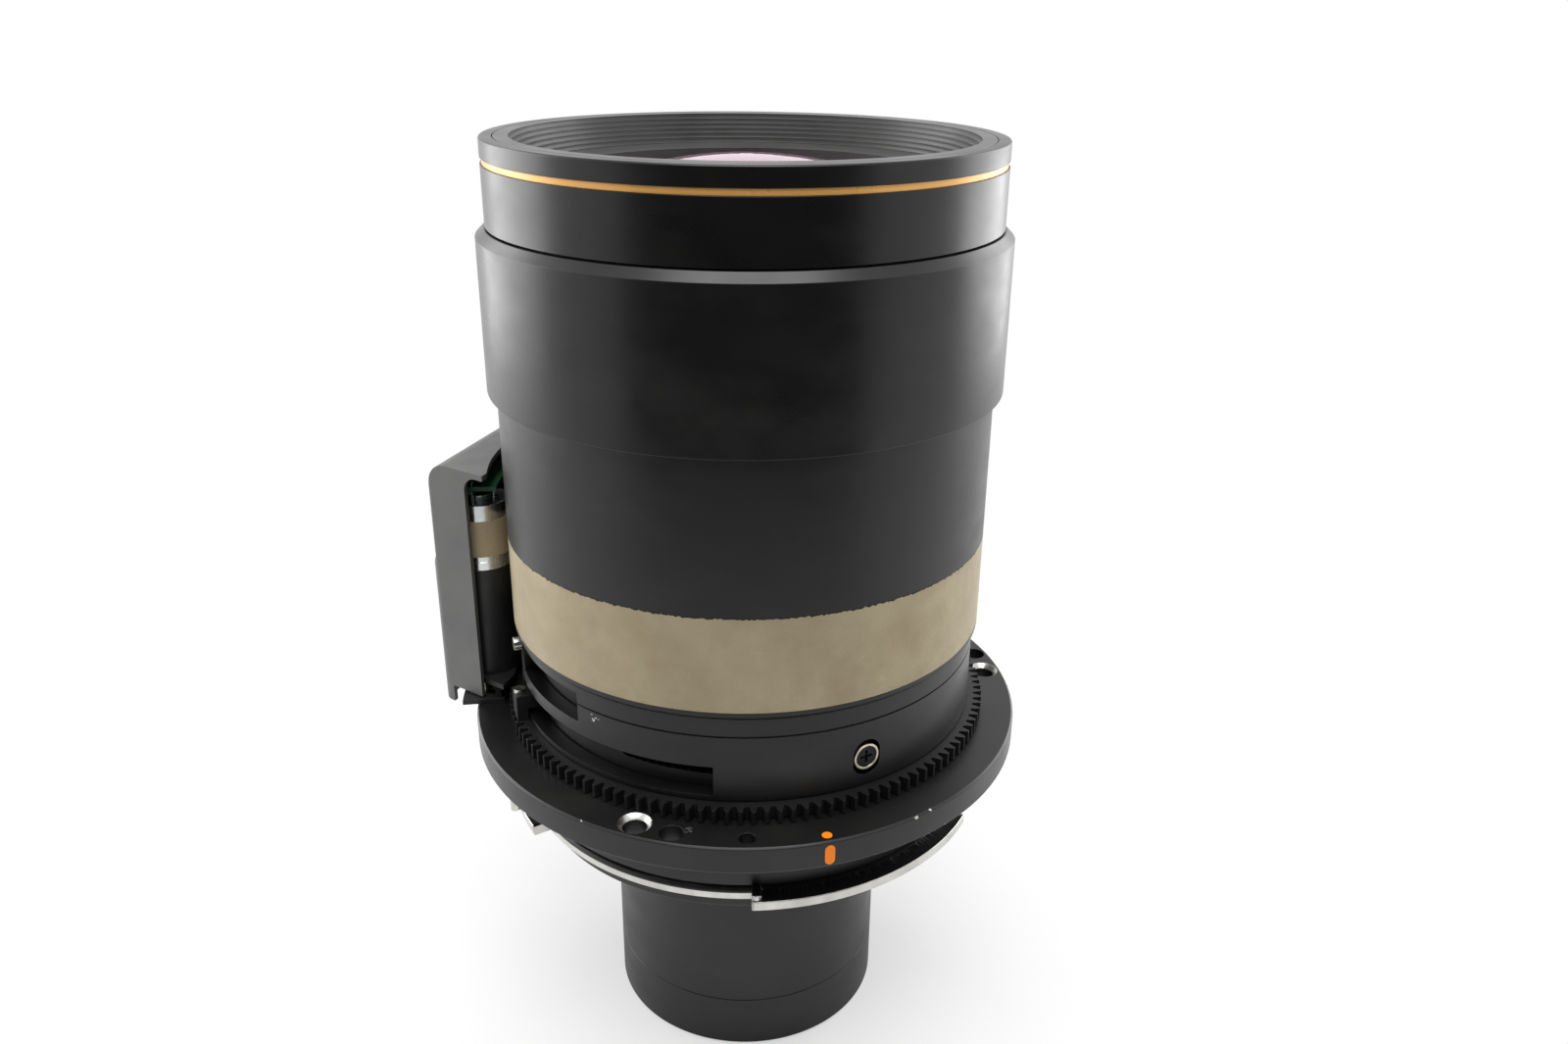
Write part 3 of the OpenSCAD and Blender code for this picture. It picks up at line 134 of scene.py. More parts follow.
def make_world():
    """White background for direct and mirrored views, and weaker white light for the rest."""
    world = bpy.data.worlds.new("white_tent")
    world.use_nodes = True
    tree = world.node_tree
    tree.nodes.clear()
    path = tree.nodes.new("ShaderNodeLightPath")
    seen = path.outputs["Is Camera Ray"]
    for other in ("Is Glossy Ray", "Is Transmission Ray"):
        either = tree.nodes.new("ShaderNodeMath")
        either.operation = "MAXIMUM"
        tree.links.new(seen, either.inputs[0])
        tree.links.new(path.outputs[other], either.inputs[1])
        seen = either.outputs[0]
    ambient = tree.nodes.new("ShaderNodeBackground")
    ambient.inputs["Strength"].default_value = AMBIENT
    white = tree.nodes.new("ShaderNodeBackground")
    for background in (ambient, white):
        background.inputs["Color"].default_value = (1, 1, 1, 1)
    mix = tree.nodes.new("ShaderNodeMixShader")
    tree.links.new(seen, mix.inputs[0])
    tree.links.new(ambient.outputs[0], mix.inputs[1])
    tree.links.new(white.outputs[0], mix.inputs[2])
    output = tree.nodes.new("ShaderNodeOutputWorld")
    tree.links.new(mix.outputs[0], output.inputs[0])
    scene.world = world


def softbox(name, place, aim, size, power):
    """Area lamp at place, facing aim. Lengths are in metres and the power is in watts."""
    data = bpy.data.lights.new(name, "AREA")
    data.shape = "RECTANGLE"
    data.size, data.size_y = size
    data.energy = power
    lamp = bpy.data.objects.new(name, data)
    scene.collection.objects.link(lamp)
    lamp.location = place
    lamp.rotation_euler = (Vector(aim) - Vector(place)).to_track_quat("-Z", "Y").to_euler()
    lamp.visible_camera = False
    return lamp


make_world()
LENS_MIDDLE = (0, 0, 0.12)
SIDE_SOFTBOX = (0.9, 0.9)
TOP_SOFTBOX = (0.8, 0.8)
softbox("left_softbox", (-0.92, 0.4, 0.35), LENS_MIDDLE, SIDE_SOFTBOX, 9.0)
softbox("right_softbox", (0.9, 0.58, 0.35), LENS_MIDDLE, SIDE_SOFTBOX, 8.0)
softbox("top_softbox", (0.0, -0.4, 1.2), LENS_MIDDLE, TOP_SOFTBOX, 10.5)
scene.view_settings.view_transform = "Standard"

# %% Helpers for node materials


class Finish:
    """A procedural material on Object coordinates, with lengths in mm."""

    def __init__(self, name, color, roughness, metallic=0.0, specular=0.5):
        self.material = bpy.data.materials.new(name)
        self.material.use_nodes = True
        self.tree = self.material.node_tree
        self.shader = self.tree.nodes["Principled BSDF"]
        self.set(**{"Base Color": (*color, 1), "Roughness": roughness, "Metallic": metallic,
                    "Specular IOR Level": specular})
        self.place = self.node("ShaderNodeTexCoord").outputs["Object"]

    def set(self, **values):
        for socket, value in values.items():
            self.shader.inputs[socket].default_value = value

    def node(self, kind, **settings):
        made = self.tree.nodes.new(kind)
        for key, value in settings.items():
            setattr(made, key, value)
        return made

    def feed(self, socket, value):
        """Links value into socket, or writes it there if it is a plain number or colour."""
        if isinstance(value, bpy.types.NodeSocket):
            self.tree.links.new(value, socket)
        elif isinstance(value, tuple) and len(value) == 3 and len(socket.default_value) == 4:
            socket.default_value = (*value, 1)
        else:
            socket.default_value = value

    def math(self, operation, *values, clamp=False):
        made = self.node("ShaderNodeMath", operation=operation, use_clamp=clamp)
        for socket, value in zip(made.inputs, values):
            self.feed(socket, value)
        return made.outputs[0]

    def stretched(self, stretch):
        """Object coordinates in mm, each divided by its stretch."""
        made = self.node("ShaderNodeMapping")
        self.feed(made.inputs["Vector"], self.place)
        made.inputs["Scale"].default_value = [1 / MM / s for s in stretch]
        return made.outputs[0]

    def noise(self, size, stretch=(1, 1, 1), detail=3.0, rough=0.55):
        """Noise from 0 to 1 with features about size mm wide."""
        made = self.node("ShaderNodeTexNoise")
        self.feed(made.inputs["Vector"], self.stretched([size * s for s in stretch]))
        made.inputs["Scale"].default_value = 1
        made.inputs["Detail"].default_value = detail
        made.inputs["Roughness"].default_value = rough
        return made.outputs["Fac"]

    def specks(self, size, share):
        """Small round spots, size mm wide, one in a cell of size / share."""
        made = self.node("ShaderNodeTexVoronoi")
        self.feed(made.inputs["Vector"], self.stretched([size / share] * 3))
        made.inputs["Scale"].default_value = 1
        return self.ramp(made.outputs["Distance"], share / 2, share / 3)

    def ramp(self, value, low, high, out_low=0.0, out_high=1.0):
        """Straight change from out_low at low to out_high at high, held at both ends."""
        made = self.node("ShaderNodeMapRange")
        for socket, number in zip(made.inputs, (value, low, high, out_low, out_high)):
            self.feed(socket, number)
        return made.outputs[0]

    def mix(self, share, first, second):
        made = self.node("ShaderNodeMix", data_type="RGBA")
        self.feed(made.inputs["Factor"], share)
        self.feed(made.inputs[6], first)
        self.feed(made.inputs[7], second)
        return made.outputs[2]

    def split(self):
        made = self.node("ShaderNodeSeparateXYZ")
        self.feed(made.inputs[0], self.place)
        return made.outputs

    def height(self):
        """Height above the floor in mm."""
        return self.math("DIVIDE", self.split()["Z"], MM)

    def radius(self):
        """Distance from the lens axis in mm."""
        parts = self.split()
        squares = self.math("ADD", self.math("MULTIPLY", parts["X"], parts["X"]),
                            self.math("MULTIPLY", parts["Y"], parts["Y"]))
        return self.math("DIVIDE", self.math("SQRT", squares), MM)

    def spot(self, place, reach):
        """1 at a place given in mm, falling to 0 at reach."""
        away = self.node("ShaderNodeVectorMath", operation="DISTANCE")
        self.feed(away.inputs[0], self.stretched((1, 1, 1)))
        away.inputs[1].default_value = place
        return self.ramp(away.outputs["Value"], reach * 0.3, reach, 1.0, 0.0)

    def color(self, value):
        self.feed(self.shader.inputs["Base Color"], value)

    def roughness(self, value):
        self.feed(self.shader.inputs["Roughness"], value)

    def metallic(self, value):
        self.feed(self.shader.inputs["Metallic"], value)

    def bump(self, value, depth, strength=1.0):
        """Bump of depth mm, laid over the bump made before it."""
        made = self.node("ShaderNodeBump")
        made.inputs["Distance"].default_value = depth * MM
        made.inputs["Strength"].default_value = strength
        self.feed(made.inputs["Height"], value)
        before = self.shader.inputs["Normal"].links
        if before:
            self.tree.links.new(before[0].from_socket, made.inputs["Normal"])
        self.tree.links.new(made.outputs[0], self.shader.inputs["Normal"])


# %% [markdown]
# Black anodised aluminium is a very dark, smooth layer. It mirrors softly, shows fine rings from
# the lathe, and carries wiped smears and a little dust. Knocks chip it down to the bare metal.

# %% Black finishes
BARE_ALUMINIUM = (0.55, 0.54, 0.51)
DUST_COLOR = (0.35, 0.34, 0.3)
TURNED = (60, 60, 1)


def polar(radius, azimuth, height):
    """Place in mm at an azimuth in degrees round the lens axis."""
    turn = math.radians(azimuth)
    return radius * math.cos(turn), radius * math.sin(turn), height


def satin_black(name, base=0.006, smear=0.016, low_gloss=0.30, high_gloss=0.44, lines=0.004, chips=()):
    """Black anodised metal. chips lists (place, reach) of knocks in mm where bare metal shows."""
    made = Finish(name, (base, base, base), low_gloss, specular=0.42)
    smears = made.ramp(made.noise(16, (1.6, 1.6, 0.8), detail=5), 0.50, 0.78)
    fine = made.noise(2.2, detail=6)
    dusty = made.math("MULTIPLY", smears, fine, clamp=True)
    color = made.mix(dusty, (base, base, base * 0.98), (smear, smear * 1.02, smear * 0.92))
    dust = made.math("MULTIPLY", made.specks(0.16, 0.035), made.ramp(made.noise(9), 0.45, 0.6))
    color = made.mix(made.math("MULTIPLY", dust, 0.5), color, DUST_COLOR)
    metal = 0.0
    for place, reach in chips:
        broken = made.ramp(made.noise(0.9, detail=6), 0.50, 0.54)
        chip = made.ramp(made.math("ADD", made.spot(place, reach), broken), 1.35, 1.45)
        color = made.mix(chip, color, BARE_ALUMINIUM)
        metal = made.math("MAXIMUM", metal, chip)
    made.color(color)
    if chips:
        made.metallic(metal)
    made.roughness(made.ramp(made.noise(20, (1, 1, 0.5), detail=6), 0.3, 0.7, low_gloss, high_gloss))
    made.bump(made.noise(0.28, TURNED, detail=2), lines)
    made.bump(made.noise(0.5, detail=3), lines / 2)
    return made.material


# %% [markdown]
# The other finishes follow the same idea: one base colour, a change over about a centimetre,
# a grain under a millimetre and a bump that fits how the surface was made.

# %% Metal and glass finishes


def bare_metal(name, color, roughness, lines=0.006, stretch=TURNED, metallic=1.0, stain=0.25):
    """Machined metal with tool marks and light stains."""
    made = Finish(name, color, roughness, metallic)
    stained = made.ramp(made.noise(7, detail=6), 0.42, 0.75)
    dull = tuple(c * 0.62 for c in color)
    made.color(made.mix(made.math("MULTIPLY", stained, stain * 2, clamp=True), color, dull))
    made.roughness(made.ramp(made.noise(3, detail=4), 0.3, 0.7, roughness * 0.8, roughness * 1.25))
    made.bump(made.noise(0.22, stretch, detail=2), lines)
    return made.material


def lens_glass(name, tint, coat_tint, roughness=0.0):
    """Clear glass with a thin coloured coating."""
    made = Finish(name, tint, roughness)
    made.set(**{"Transmission Weight": 1.0, "IOR": 1.62, "Coat Weight": 0.6, "Coat Roughness": 0.02,
                "Coat Tint": (*coat_tint, 1), "Specular Tint": (*coat_tint, 1)})
    return made.material


def painted(name, color, roughness=0.45):
    """Thick paint with a faint uneven surface."""
    made = Finish(name, color, roughness, specular=0.25)
    darker = tuple(c * 0.92 for c in color)
    made.color(made.mix(made.ramp(made.noise(0.6), 0.4, 0.7), color, darker))
    made.bump(made.noise(0.35), 0.01)
    return made.material


def moulded_plastic(name, base, roughness=0.5):
    """Dark moulded or powder coated cover with a fine grain."""
    made = Finish(name, (base, base, base), roughness)
    cloud = made.ramp(made.noise(14, detail=5), 0.35, 0.7)
    made.color(made.mix(cloud, (base, base * 1.02, base), (base * 1.25, base * 1.27, base * 1.22)))
    made.roughness(made.ramp(made.noise(5, detail=5), 0.3, 0.7, roughness - 0.05, roughness + 0.06))
    made.bump(made.noise(0.3, detail=4), 0.008)
    return made.material


FINISHES = {
    "satin_black": satin_black("satin_black"),
    "inner_black": satin_black("inner_black", base=0.06, low_gloss=0.32, high_gloss=0.42, lines=0.006),
    "gear_black": satin_black("gear_black", base=0.007, low_gloss=0.36, high_gloss=0.5, lines=0.003),
    "bayonet_metal": bare_metal("bayonet_metal", (0.62, 0.61, 0.58), 0.34, stain=0.35),
    "dark_screws": bare_metal("dark_screws", (0.03, 0.03, 0.032), 0.35, stain=0.1),
    "bright_screws": bare_metal("bright_screws", (0.62, 0.61, 0.56), 0.28, stain=0.2),
    "index_orange": painted("index_orange", (1.0, 0.25, 0.008)),
    "bare_metal_band": bare_metal("bare_metal_band", (0.36, 0.30, 0.20), 0.5, metallic=0.6),
    "cell_metal": satin_black("cell_metal", base=0.02, low_gloss=0.4, high_gloss=0.5),
    "cam_metal": satin_black("cam_metal", base=0.012, low_gloss=0.34, high_gloss=0.45),
    "lens_glass": lens_glass("lens_glass", (0.97, 0.98, 0.98), (0.75, 0.9, 0.8)),
    "front_glass": lens_glass("front_glass", (0.98, 0.97, 0.98), (1.0, 0.72, 0.86)),
    "follower_brass": bare_metal("follower_brass", (0.66, 0.60, 0.47), 0.3, stain=0.3),
    "gold_anodised": bare_metal("gold_anodised", (0.95, 0.50, 0.14), 0.32, lines=0.001, metallic=0.2,
                                stain=0.03),
    "bracket_steel": satin_black("bracket_steel", base=0.015, low_gloss=0.4, high_gloss=0.55),
    "gearbox_black": moulded_plastic("gearbox_black", 0.012, 0.45),
    "motor_can": bare_metal("motor_can", (0.70, 0.72, 0.72), 0.24, stain=0.1),
    "motor_label": painted("motor_label", (0.46, 0.37, 0.24), 0.5),
    "circuit_board": painted("circuit_board", (0.02, 0.09, 0.04), 0.4),
    "cover_plastic": moulded_plastic("cover_plastic", 0.10, 0.46),
}
for name, node in frame["nodes"].items():
    node.data.materials.clear()
    node.data.materials.append(FINISHES[slot_of[name]])
print("finishes", len(FINISHES))

# %% Helpers that make and place pieces
ROUND_STEPS = 192
ROUNDING_SEGMENTS = 3
AXIS = (0, 0, 1)
WELD = 1e-7
CAD_WELD = 2e-6
FLAT_ANGLE = math.radians(0.7)


def linked_object(name, bm, *materials):
    """New object in the scene that takes over bm and has these materials."""
    mesh = bpy.data.meshes.new(name)
    bm.to_mesh(mesh)
    bm.free()
    for material in materials:
        mesh.materials.append(material)
    made = bpy.data.objects.new(name, mesh)
    scene.collection.objects.link(made)
    return made


def add_piece(name, bm, node, *finishes):
    """Turns bm into a smooth object that stands for one CAD node and rides on its body."""
    piece = linked_object(name, bm, *(finishes or (FINISHES[slot_of[node]],)))
    piece.data.shade_smooth()
    normals = piece.modifiers.new("even_normals", "WEIGHTED_NORMAL")
    normals.weight = 90
    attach(piece, body_of[node])
    return piece


def rounded_section(corners):
    """Flat face in the XZ plane with its corners rounded. corners are (radius, height, rounding)."""
    bm = bmesh.new()
    points = [bm.verts.new((r * MM, 0, z * MM)) for r, z, _ in corners]
    bm.faces.new(points)
    for rounding in sorted({corner[2] for corner in corners if corner[2]}):
        chosen = [point for point, corner in zip(points, corners) if corner[2] == rounding]
        bmesh.ops.bevel(bm, geom=chosen, offset=rounding * MM, offset_type="OFFSET",
                        segments=ROUNDING_SEGMENTS, profile=0.5, affect="VERTICES", material=-1)
    return bm


def spun(bm, steps=ROUND_STEPS):
    """Turns a flat section once round the lens axis into a closed solid."""
    bmesh.ops.delete(bm, geom=bm.faces[:], context="FACES_ONLY")
    on_axis = [e for e in bm.edges if all(abs(v.co.x) < WELD for v in e.verts)]
    bmesh.ops.delete(bm, geom=on_axis, context="EDGES")
    bmesh.ops.spin(bm, geom=bm.verts[:] + bm.edges[:], cent=(0, 0, 0), axis=AXIS,
                   angle=math.tau, steps=steps, use_merge=True)
    bmesh.ops.remove_doubles(bm, verts=bm.verts[:], dist=WELD)
    bmesh.ops.recalc_face_normals(bm, faces=bm.faces[:])
    return bm


def turned(node, corners, *finishes):
    """Turned piece in place of a CAD node."""
    piece = add_piece(node + "_turned", spun(rounded_section(corners)), node, *finishes)
    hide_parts(node)
    print(piece.name, len(piece.data.polygons), "faces")
    return piece


def merged_copy(node):
    """bmesh of a CAD node with its loose triangles joined and its flat faces made whole."""
    bm = bmesh.new()
    bm.from_mesh(frame["nodes"][node].data)
    bmesh.ops.remove_doubles(bm, verts=bm.verts[:], dist=CAD_WELD)
    bmesh.ops.dissolve_limit(bm, angle_limit=FLAT_ANGLE, verts=bm.verts[:], edges=bm.edges[:])
    return bm


def softened(node, *finishes, width=0.15, segments=2, sharp=35, choose=None):
    """Cut or milled piece: the CAD shape with its sharp edges rounded by width mm.

    Edges that bend by more than sharp degrees are rounded, and choose gives a face its finish.
    """
    bm = merged_copy(node)
    edges = [e for e in bm.edges if len(e.link_faces) == 2 and e.calc_face_angle() > math.radians(sharp)]
    bmesh.ops.bevel(bm, geom=edges, offset=width * MM, offset_type="OFFSET", segments=segments,
                    profile=0.5, affect="EDGES", clamp_overlap=True, material=-1)
    if choose:
        for face in bm.faces:
            face.material_index = choose(face)
    piece = add_piece(node + "_finished", bm, node, *finishes)
    if "custom_normal" in piece.data.attributes:
        piece.data.attributes.remove(piece.data.attributes["custom_normal"])
    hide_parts(node)
    print(piece.name, len(piece.data.polygons), "faces")
    return piece


# %% [markdown]
# The floor is a pale round sheet. It keeps a soft shadow under the lens, but the camera sees half of it
# there as a white glow, painted light that lightens that shadow, and further out it turns to pure white
# for the camera, so that no edge shows against the white tent.

# %% Floor and dark panel
FLOOR_RADIUS = 0.46
FLOOR_COLOR = (0.86, 0.86, 0.855)
# Darker floor colour painted into the creases: painted shade, not a colour the sheet has.
CREASE_SHADE_COLOR = (0.83, 0.83, 0.825)
PANEL_HALF = (0.95, 0.8, 1)
PANEL_PLACE = (0, -0.8, 0.05)


def make_floor():
    """Round floor that glows where the camera or a gloss looks at it. For the camera it is already half
    glow under the lens, painted light over its shadow, and it glows more towards its edge.
    """
    made = Finish("pale_floor", FLOOR_COLOR, 0.6)
    # One noise bumps the sheet into creases and also paints them darker, which is painted shade.
    crease_relief_and_shade = made.noise(60, detail=2)
    made.color(made.mix(made.ramp(crease_relief_and_shade, 0.4, 0.7), FLOOR_COLOR, CREASE_SHADE_COLOR))
    made.bump(crease_relief_and_shade, 0.6, 0.4)
    glow = made.node("ShaderNodeEmission")
    path = made.node("ShaderNodeLightPath")
    radius = made.radius()
    # Painted light: under the lens the camera sees half a white glow, which lightens the floor's shadow.
    shown_share = made.ramp(radius, 40.0, 240.0, 0.5, 1.0)
    mirrored_share = made.ramp(radius, 90.0, 300.0, 0.0, 0.9)
    shown = made.math("MULTIPLY", path.outputs["Is Camera Ray"], shown_share)
    mirrored = made.math("MULTIPLY", path.outputs["Is Glossy Ray"], mirrored_share)
    share = made.math("MAXIMUM", shown, mirrored)
    mix = made.node("ShaderNodeMixShader")
    made.feed(mix.inputs[0], share)
    made.tree.links.new(made.shader.outputs[0], mix.inputs[1])
    made.tree.links.new(glow.outputs[0], mix.inputs[2])
    output = made.tree.nodes["Material Output"]
    made.tree.links.new(mix.outputs[0], output.inputs["Surface"])
    bm = bmesh.new()
    bmesh.ops.create_circle(bm, cap_ends=True, segments=128, radius=FLOOR_RADIUS)
    return linked_object("pale_floor", bm, made.material)


def make_dark_panel():
    """Upright dark panel behind the camera, seen only in what the lens mirrors."""
    made = Finish("dark_panel", (0.02, 0.02, 0.02), 0.9)
    bm = bmesh.new()
    bmesh.ops.create_grid(bm, x_segments=1, y_segments=1, size=1)
    bmesh.ops.scale(bm, vec=PANEL_HALF, verts=bm.verts[:])
    bmesh.ops.rotate(bm, matrix=Matrix.Rotation(math.radians(90), 3, "X"), verts=bm.verts[:])
    bmesh.ops.translate(bm, vec=PANEL_PLACE, verts=bm.verts[:])
    panel = linked_object("dark_panel", bm, made.material)
    panel.visible_camera = False
    return panel


make_floor()
make_dark_panel()

# %% [markdown]
# The rear end is a plain tube with a screwed-on cell. The thin seam between them is two small
# rounded edges that meet. Above it lies the seat ring, which centres the lens in the projector.

# %% Rear end
REAR_CHAMFER = 0.8
SEAM = 0.2
REAR_R = 38.0
NECK_R = 37.0
REAR_BORE = 35.0
REAR_FLANGE_IN = 33.0
REAR_FLANGE_H = 3.0
REAR_GLASS_SEAT = 58.0
GLASS_ROOM = 32.1
GLASS_SHELF = 2.0
cell_low, cell_high = heights("rear_cell")
cell_in = radii("rear_cell")[0]
barrel_low, barrel_high = heights("rear_barrel")
flange_out = radii("rear_barrel")[1]
seat_low, seat_high = heights("seat_ring")
seat_in, seat_out = radii("seat_ring")

turned("rear_cell", [
    (REAR_R - REAR_CHAMFER, cell_low, 0.2), (REAR_R, cell_low + REAR_CHAMFER, 0.2),
    (REAR_R, cell_high - SEAM, 0.15), (REAR_R - SEAM, cell_high, 0), (cell_in, cell_high, 0),
    (cell_in, cell_high - GLASS_SHELF, 0), (GLASS_ROOM, cell_high - GLASS_SHELF, 0),
    (GLASS_ROOM, cell_low, 0.25),
])
turned("rear_barrel", [
    (REAR_BORE, barrel_low, 0), (REAR_R - SEAM, barrel_low, 0), (REAR_R, barrel_low + SEAM, 0.15),
    (REAR_R, seat_low, 0.2), (NECK_R, seat_low, 0), (NECK_R, barrel_high - REAR_FLANGE_H, 0.3),
    (flange_out, barrel_high - REAR_FLANGE_H, 0.2),
    (flange_out, barrel_high, 0.2), (REAR_FLANGE_IN, barrel_high, 0.2),
    (REAR_FLANGE_IN, REAR_GLASS_SEAT, 0), (REAR_BORE, REAR_GLASS_SEAT, 0),
])
port_low, port_high = heights("rear_port_ring")
port_in, port_out = radii("rear_port_ring")
turned("rear_port_ring", [
    (port_in, port_low, 0.4), (port_out, port_low, 0.2), (port_out, port_high, 0),
    (port_in, port_high, 0.2),
])
turned("seat_ring", [
    (seat_in, seat_low, 0.2), (seat_out, seat_low, 0.5), (seat_out, seat_high, 0.15),
    (seat_in, seat_high, 0),
])

# %% [markdown]
# The bayonet plate is one milled piece: a ring with three lugs. Its lugs slide in the projector's
# ring, so their outer faces and the ring's lower edge are rubbed to bare metal, while the flat
# faces keep their black layer. A Boolean joins the lugs to the ring and cuts the screw holes.

# %% Helpers for milled pieces


def swept(corners, start, sweep, steps):
    """Closed part of a ring with the section corners, from azimuth start over sweep degrees."""
    flat = rounded_section(corners)
    section = [v.co.copy() for v in flat.faces[:][0].verts]
    flat.free()
    bm = bmesh.new()
    rows = []
    for i in range(steps + 1):
        turn = Matrix.Rotation(math.radians(start + sweep * i / steps), 3, "Z")
        rows.append([bm.verts.new(turn @ point) for point in section])
    for row, after in zip(rows, rows[1:]):
        for k in range(len(section)):
            bm.faces.new((row[k - 1], row[k], after[k], after[k - 1]))
    bm.faces.new(rows[0])
    bm.faces.new(rows[-1])
    bmesh.ops.recalc_face_normals(bm, faces=bm.faces[:])
    return bm


def combined(base, steps):
    """Result of exact Booleans on base. steps lists (operation, bmesh), used one after another."""
    body = linked_object("spare", base)
    others = []
    for operation, tool in steps:
        others.append(linked_object("spare", tool))
        cut = body.modifiers.new("cut", "BOOLEAN")
        cut.operation = operation
        cut.solver = "EXACT"
        cut.object = others[-1]
    graph = bpy.context.evaluated_depsgraph_get()
    bm = bmesh.new()
    bm.from_mesh(body.evaluated_get(graph).data)
    for made in (body, *others):
        mesh = made.data
        bpy.data.objects.remove(made)
        bpy.data.meshes.remove(mesh)
    return bm


def merged(parts):
    """One bmesh that holds several."""
    whole = bmesh.new()
    for bm in parts:
        mesh = bpy.data.meshes.new("part")
        bm.to_mesh(mesh)
        bm.free()
        whole.from_mesh(mesh)
        bpy.data.meshes.remove(mesh)
    return whole


# %% Bayonet plate
HUB_R = 62.0
LUG_R = 66.5
LUG_H = 2.7
LUG_START = 271
LUG_ANGLE = 61
LUG_COUNT = 3
LUG_SPACING = 120
LUG_ROOT = 1.0
BARE_H = 1.9
STOP_ANGLE = 2
STOP_INSET = 0.35
STOP_DROP = 0.1
RING_STEPS = 360
SCREW_CIRCLE = 56.5
SCREW_START = 25
SCREW_COUNT = 6
SCREW_SPACING = 60
SCREW_STEPS = 32
SCREW_HOLE_R = 1.6
SCREW_HEAD_R = 2.9
SCREW_HEAD_H = 1.6
OVERRUN = 1.0
RIM_ZONE = 0.4
LUG_ZONE = 0.05
SIDE_TILT = 0.8
plate_low, plate_high = heights("bayonet_plate")
plate_in = radii("bayonet_plate")[0]


def screw_hole(azimuth):
    """Two-step cutter for one counterbored screw hole, from below."""
    bm = spun(rounded_section([
        (0, plate_low - OVERRUN, 0), (SCREW_HEAD_R, plate_low - OVERRUN, 0),
        (SCREW_HEAD_R, plate_low + SCREW_HEAD_H, 0), (SCREW_HOLE_R, plate_low + SCREW_HEAD_H, 0),
        (SCREW_HOLE_R, plate_high + OVERRUN, 0), (0, plate_high + OVERRUN, 0),
    ]), SCREW_STEPS)
    x, y, _ = polar(SCREW_CIRCLE, azimuth, 0)
    bmesh.ops.translate(bm, vec=(x * MM, y * MM, 0), verts=bm.verts[:])
    return bm


def at_each_lug(corners, sweep):
    """One bmesh with a part of a ring at the start of every lug, over sweep whole degrees."""
    starts = [LUG_START + LUG_SPACING * i for i in range(LUG_COUNT)]
    return merged([swept(corners, start, sweep, sweep) for start in starts])


lug_in = HUB_R - LUG_ROOT
lug_top = plate_low + LUG_H
stop_out = LUG_R - STOP_INSET
stop_top = plate_high - STOP_DROP
plate_ring = spun(rounded_section([
    (plate_in, plate_low, 0.2), (HUB_R, plate_low, 0.3), (HUB_R, plate_low + BARE_H, 0),
    (HUB_R, plate_high, 0), (plate_in, plate_high, 0),
]), RING_STEPS)
lugs = at_each_lug([
    (lug_in, plate_low, 0), (LUG_R, plate_low, 0.35), (LUG_R, lug_top, 0.3), (lug_in, lug_top, 0),
], LUG_ANGLE)
stops = at_each_lug([
    (lug_in, lug_top - OVERRUN, 0), (stop_out, lug_top - OVERRUN, 0), (stop_out, stop_top, 0.3),
    (lug_in, stop_top, 0),
], STOP_ANGLE)
holes = merged([screw_hole(SCREW_START + SCREW_SPACING * i) for i in range(SCREW_COUNT)])
plate = combined(plate_ring, [("UNION", lugs), ("UNION", stops), ("DIFFERENCE", holes)])
for face in plate.faces:
    middle = face.calc_center_median() / MM
    reach = math.hypot(middle.x, middle.y)
    on_side = reach > HUB_R - RIM_ZONE and abs(face.normal.z) < SIDE_TILT
    rubbed = reach > HUB_R + LUG_ZONE or middle.z < plate_low + BARE_H
    face.material_index = 0 if on_side and rubbed else 1
bayonet_black = satin_black("bayonet_black", base=0.009, smear=0.03)
plate_piece = add_piece("bayonet_plate_milled", plate, "bayonet_plate",
                        FINISHES["bayonet_metal"], bayonet_black)
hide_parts("bayonet_plate")
print(plate_piece.name, len(plate_piece.data.polygons), "faces")
softened("bayonet_screws", width=0.12)

# %% Flange and index marks
FLANGE_CHIPS = (
    (polar(69.0, 258.3, 95.2), 1.7), (polar(74.9, 303, 95.1), 0.9), (polar(74.9, 306.5, 95.2), 0.7),
    (polar(74.9, 238, 95.2), 0.6), (polar(75.0, 311, 88.4), 0.9),
)
flange_black = satin_black("flange_black", base=0.006, low_gloss=0.32, high_gloss=0.42,
                           chips=FLANGE_CHIPS)
FIXING_START = 247.5
FIXING_SPACING = 120
FIXING_COUNT = 3
FIXING_CIRCLE = 69.9
CONE_REACH = 4.5
CONE_TILT_LOW = 0.2
CONE_TILT_HIGH = 0.95


def countersink(face):
    """1 for the turned cones at the mouths of the fixing holes, which are bare metal, or else 0."""
    middle = face.calc_center_median() / MM
    for i in range(FIXING_COUNT):
        hole = Vector(polar(FIXING_CIRCLE, FIXING_START + FIXING_SPACING * i, middle.z))
        if (middle - hole).length < CONE_REACH and CONE_TILT_LOW < face.normal.z < CONE_TILT_HIGH:
            return 1
    return 0


softened("mount_flange", flange_black, FINISHES["bayonet_metal"], width=0.12, choose=countersink)
softened("stop_peg", width=0.2)
softened("index_dot", width=0.03)
softened("index_bar", width=0.03)

# %% [markdown]
# The zoom ring gear is black gear plastic. A soft edge on every tooth lets it catch the light.

# %% Ring gear and fixed barrel
softened("zoom_gear_ring", width=0.1)
BARREL_CHIPS = ((polar(62.0, 233, 115.0), 1.5), (polar(62.0, 234.4, 115.6), 0.8))
fixed_black = satin_black("fixed_black", base=0.005, low_gloss=0.3, high_gloss=0.42, chips=BARREL_CHIPS)
softened("fixed_barrel", fixed_black, width=0.15)
softened("barrel_screw", width=0.1)
softened("zoom_rollers", width=0.15)
softened("roller_screws", width=0.08)

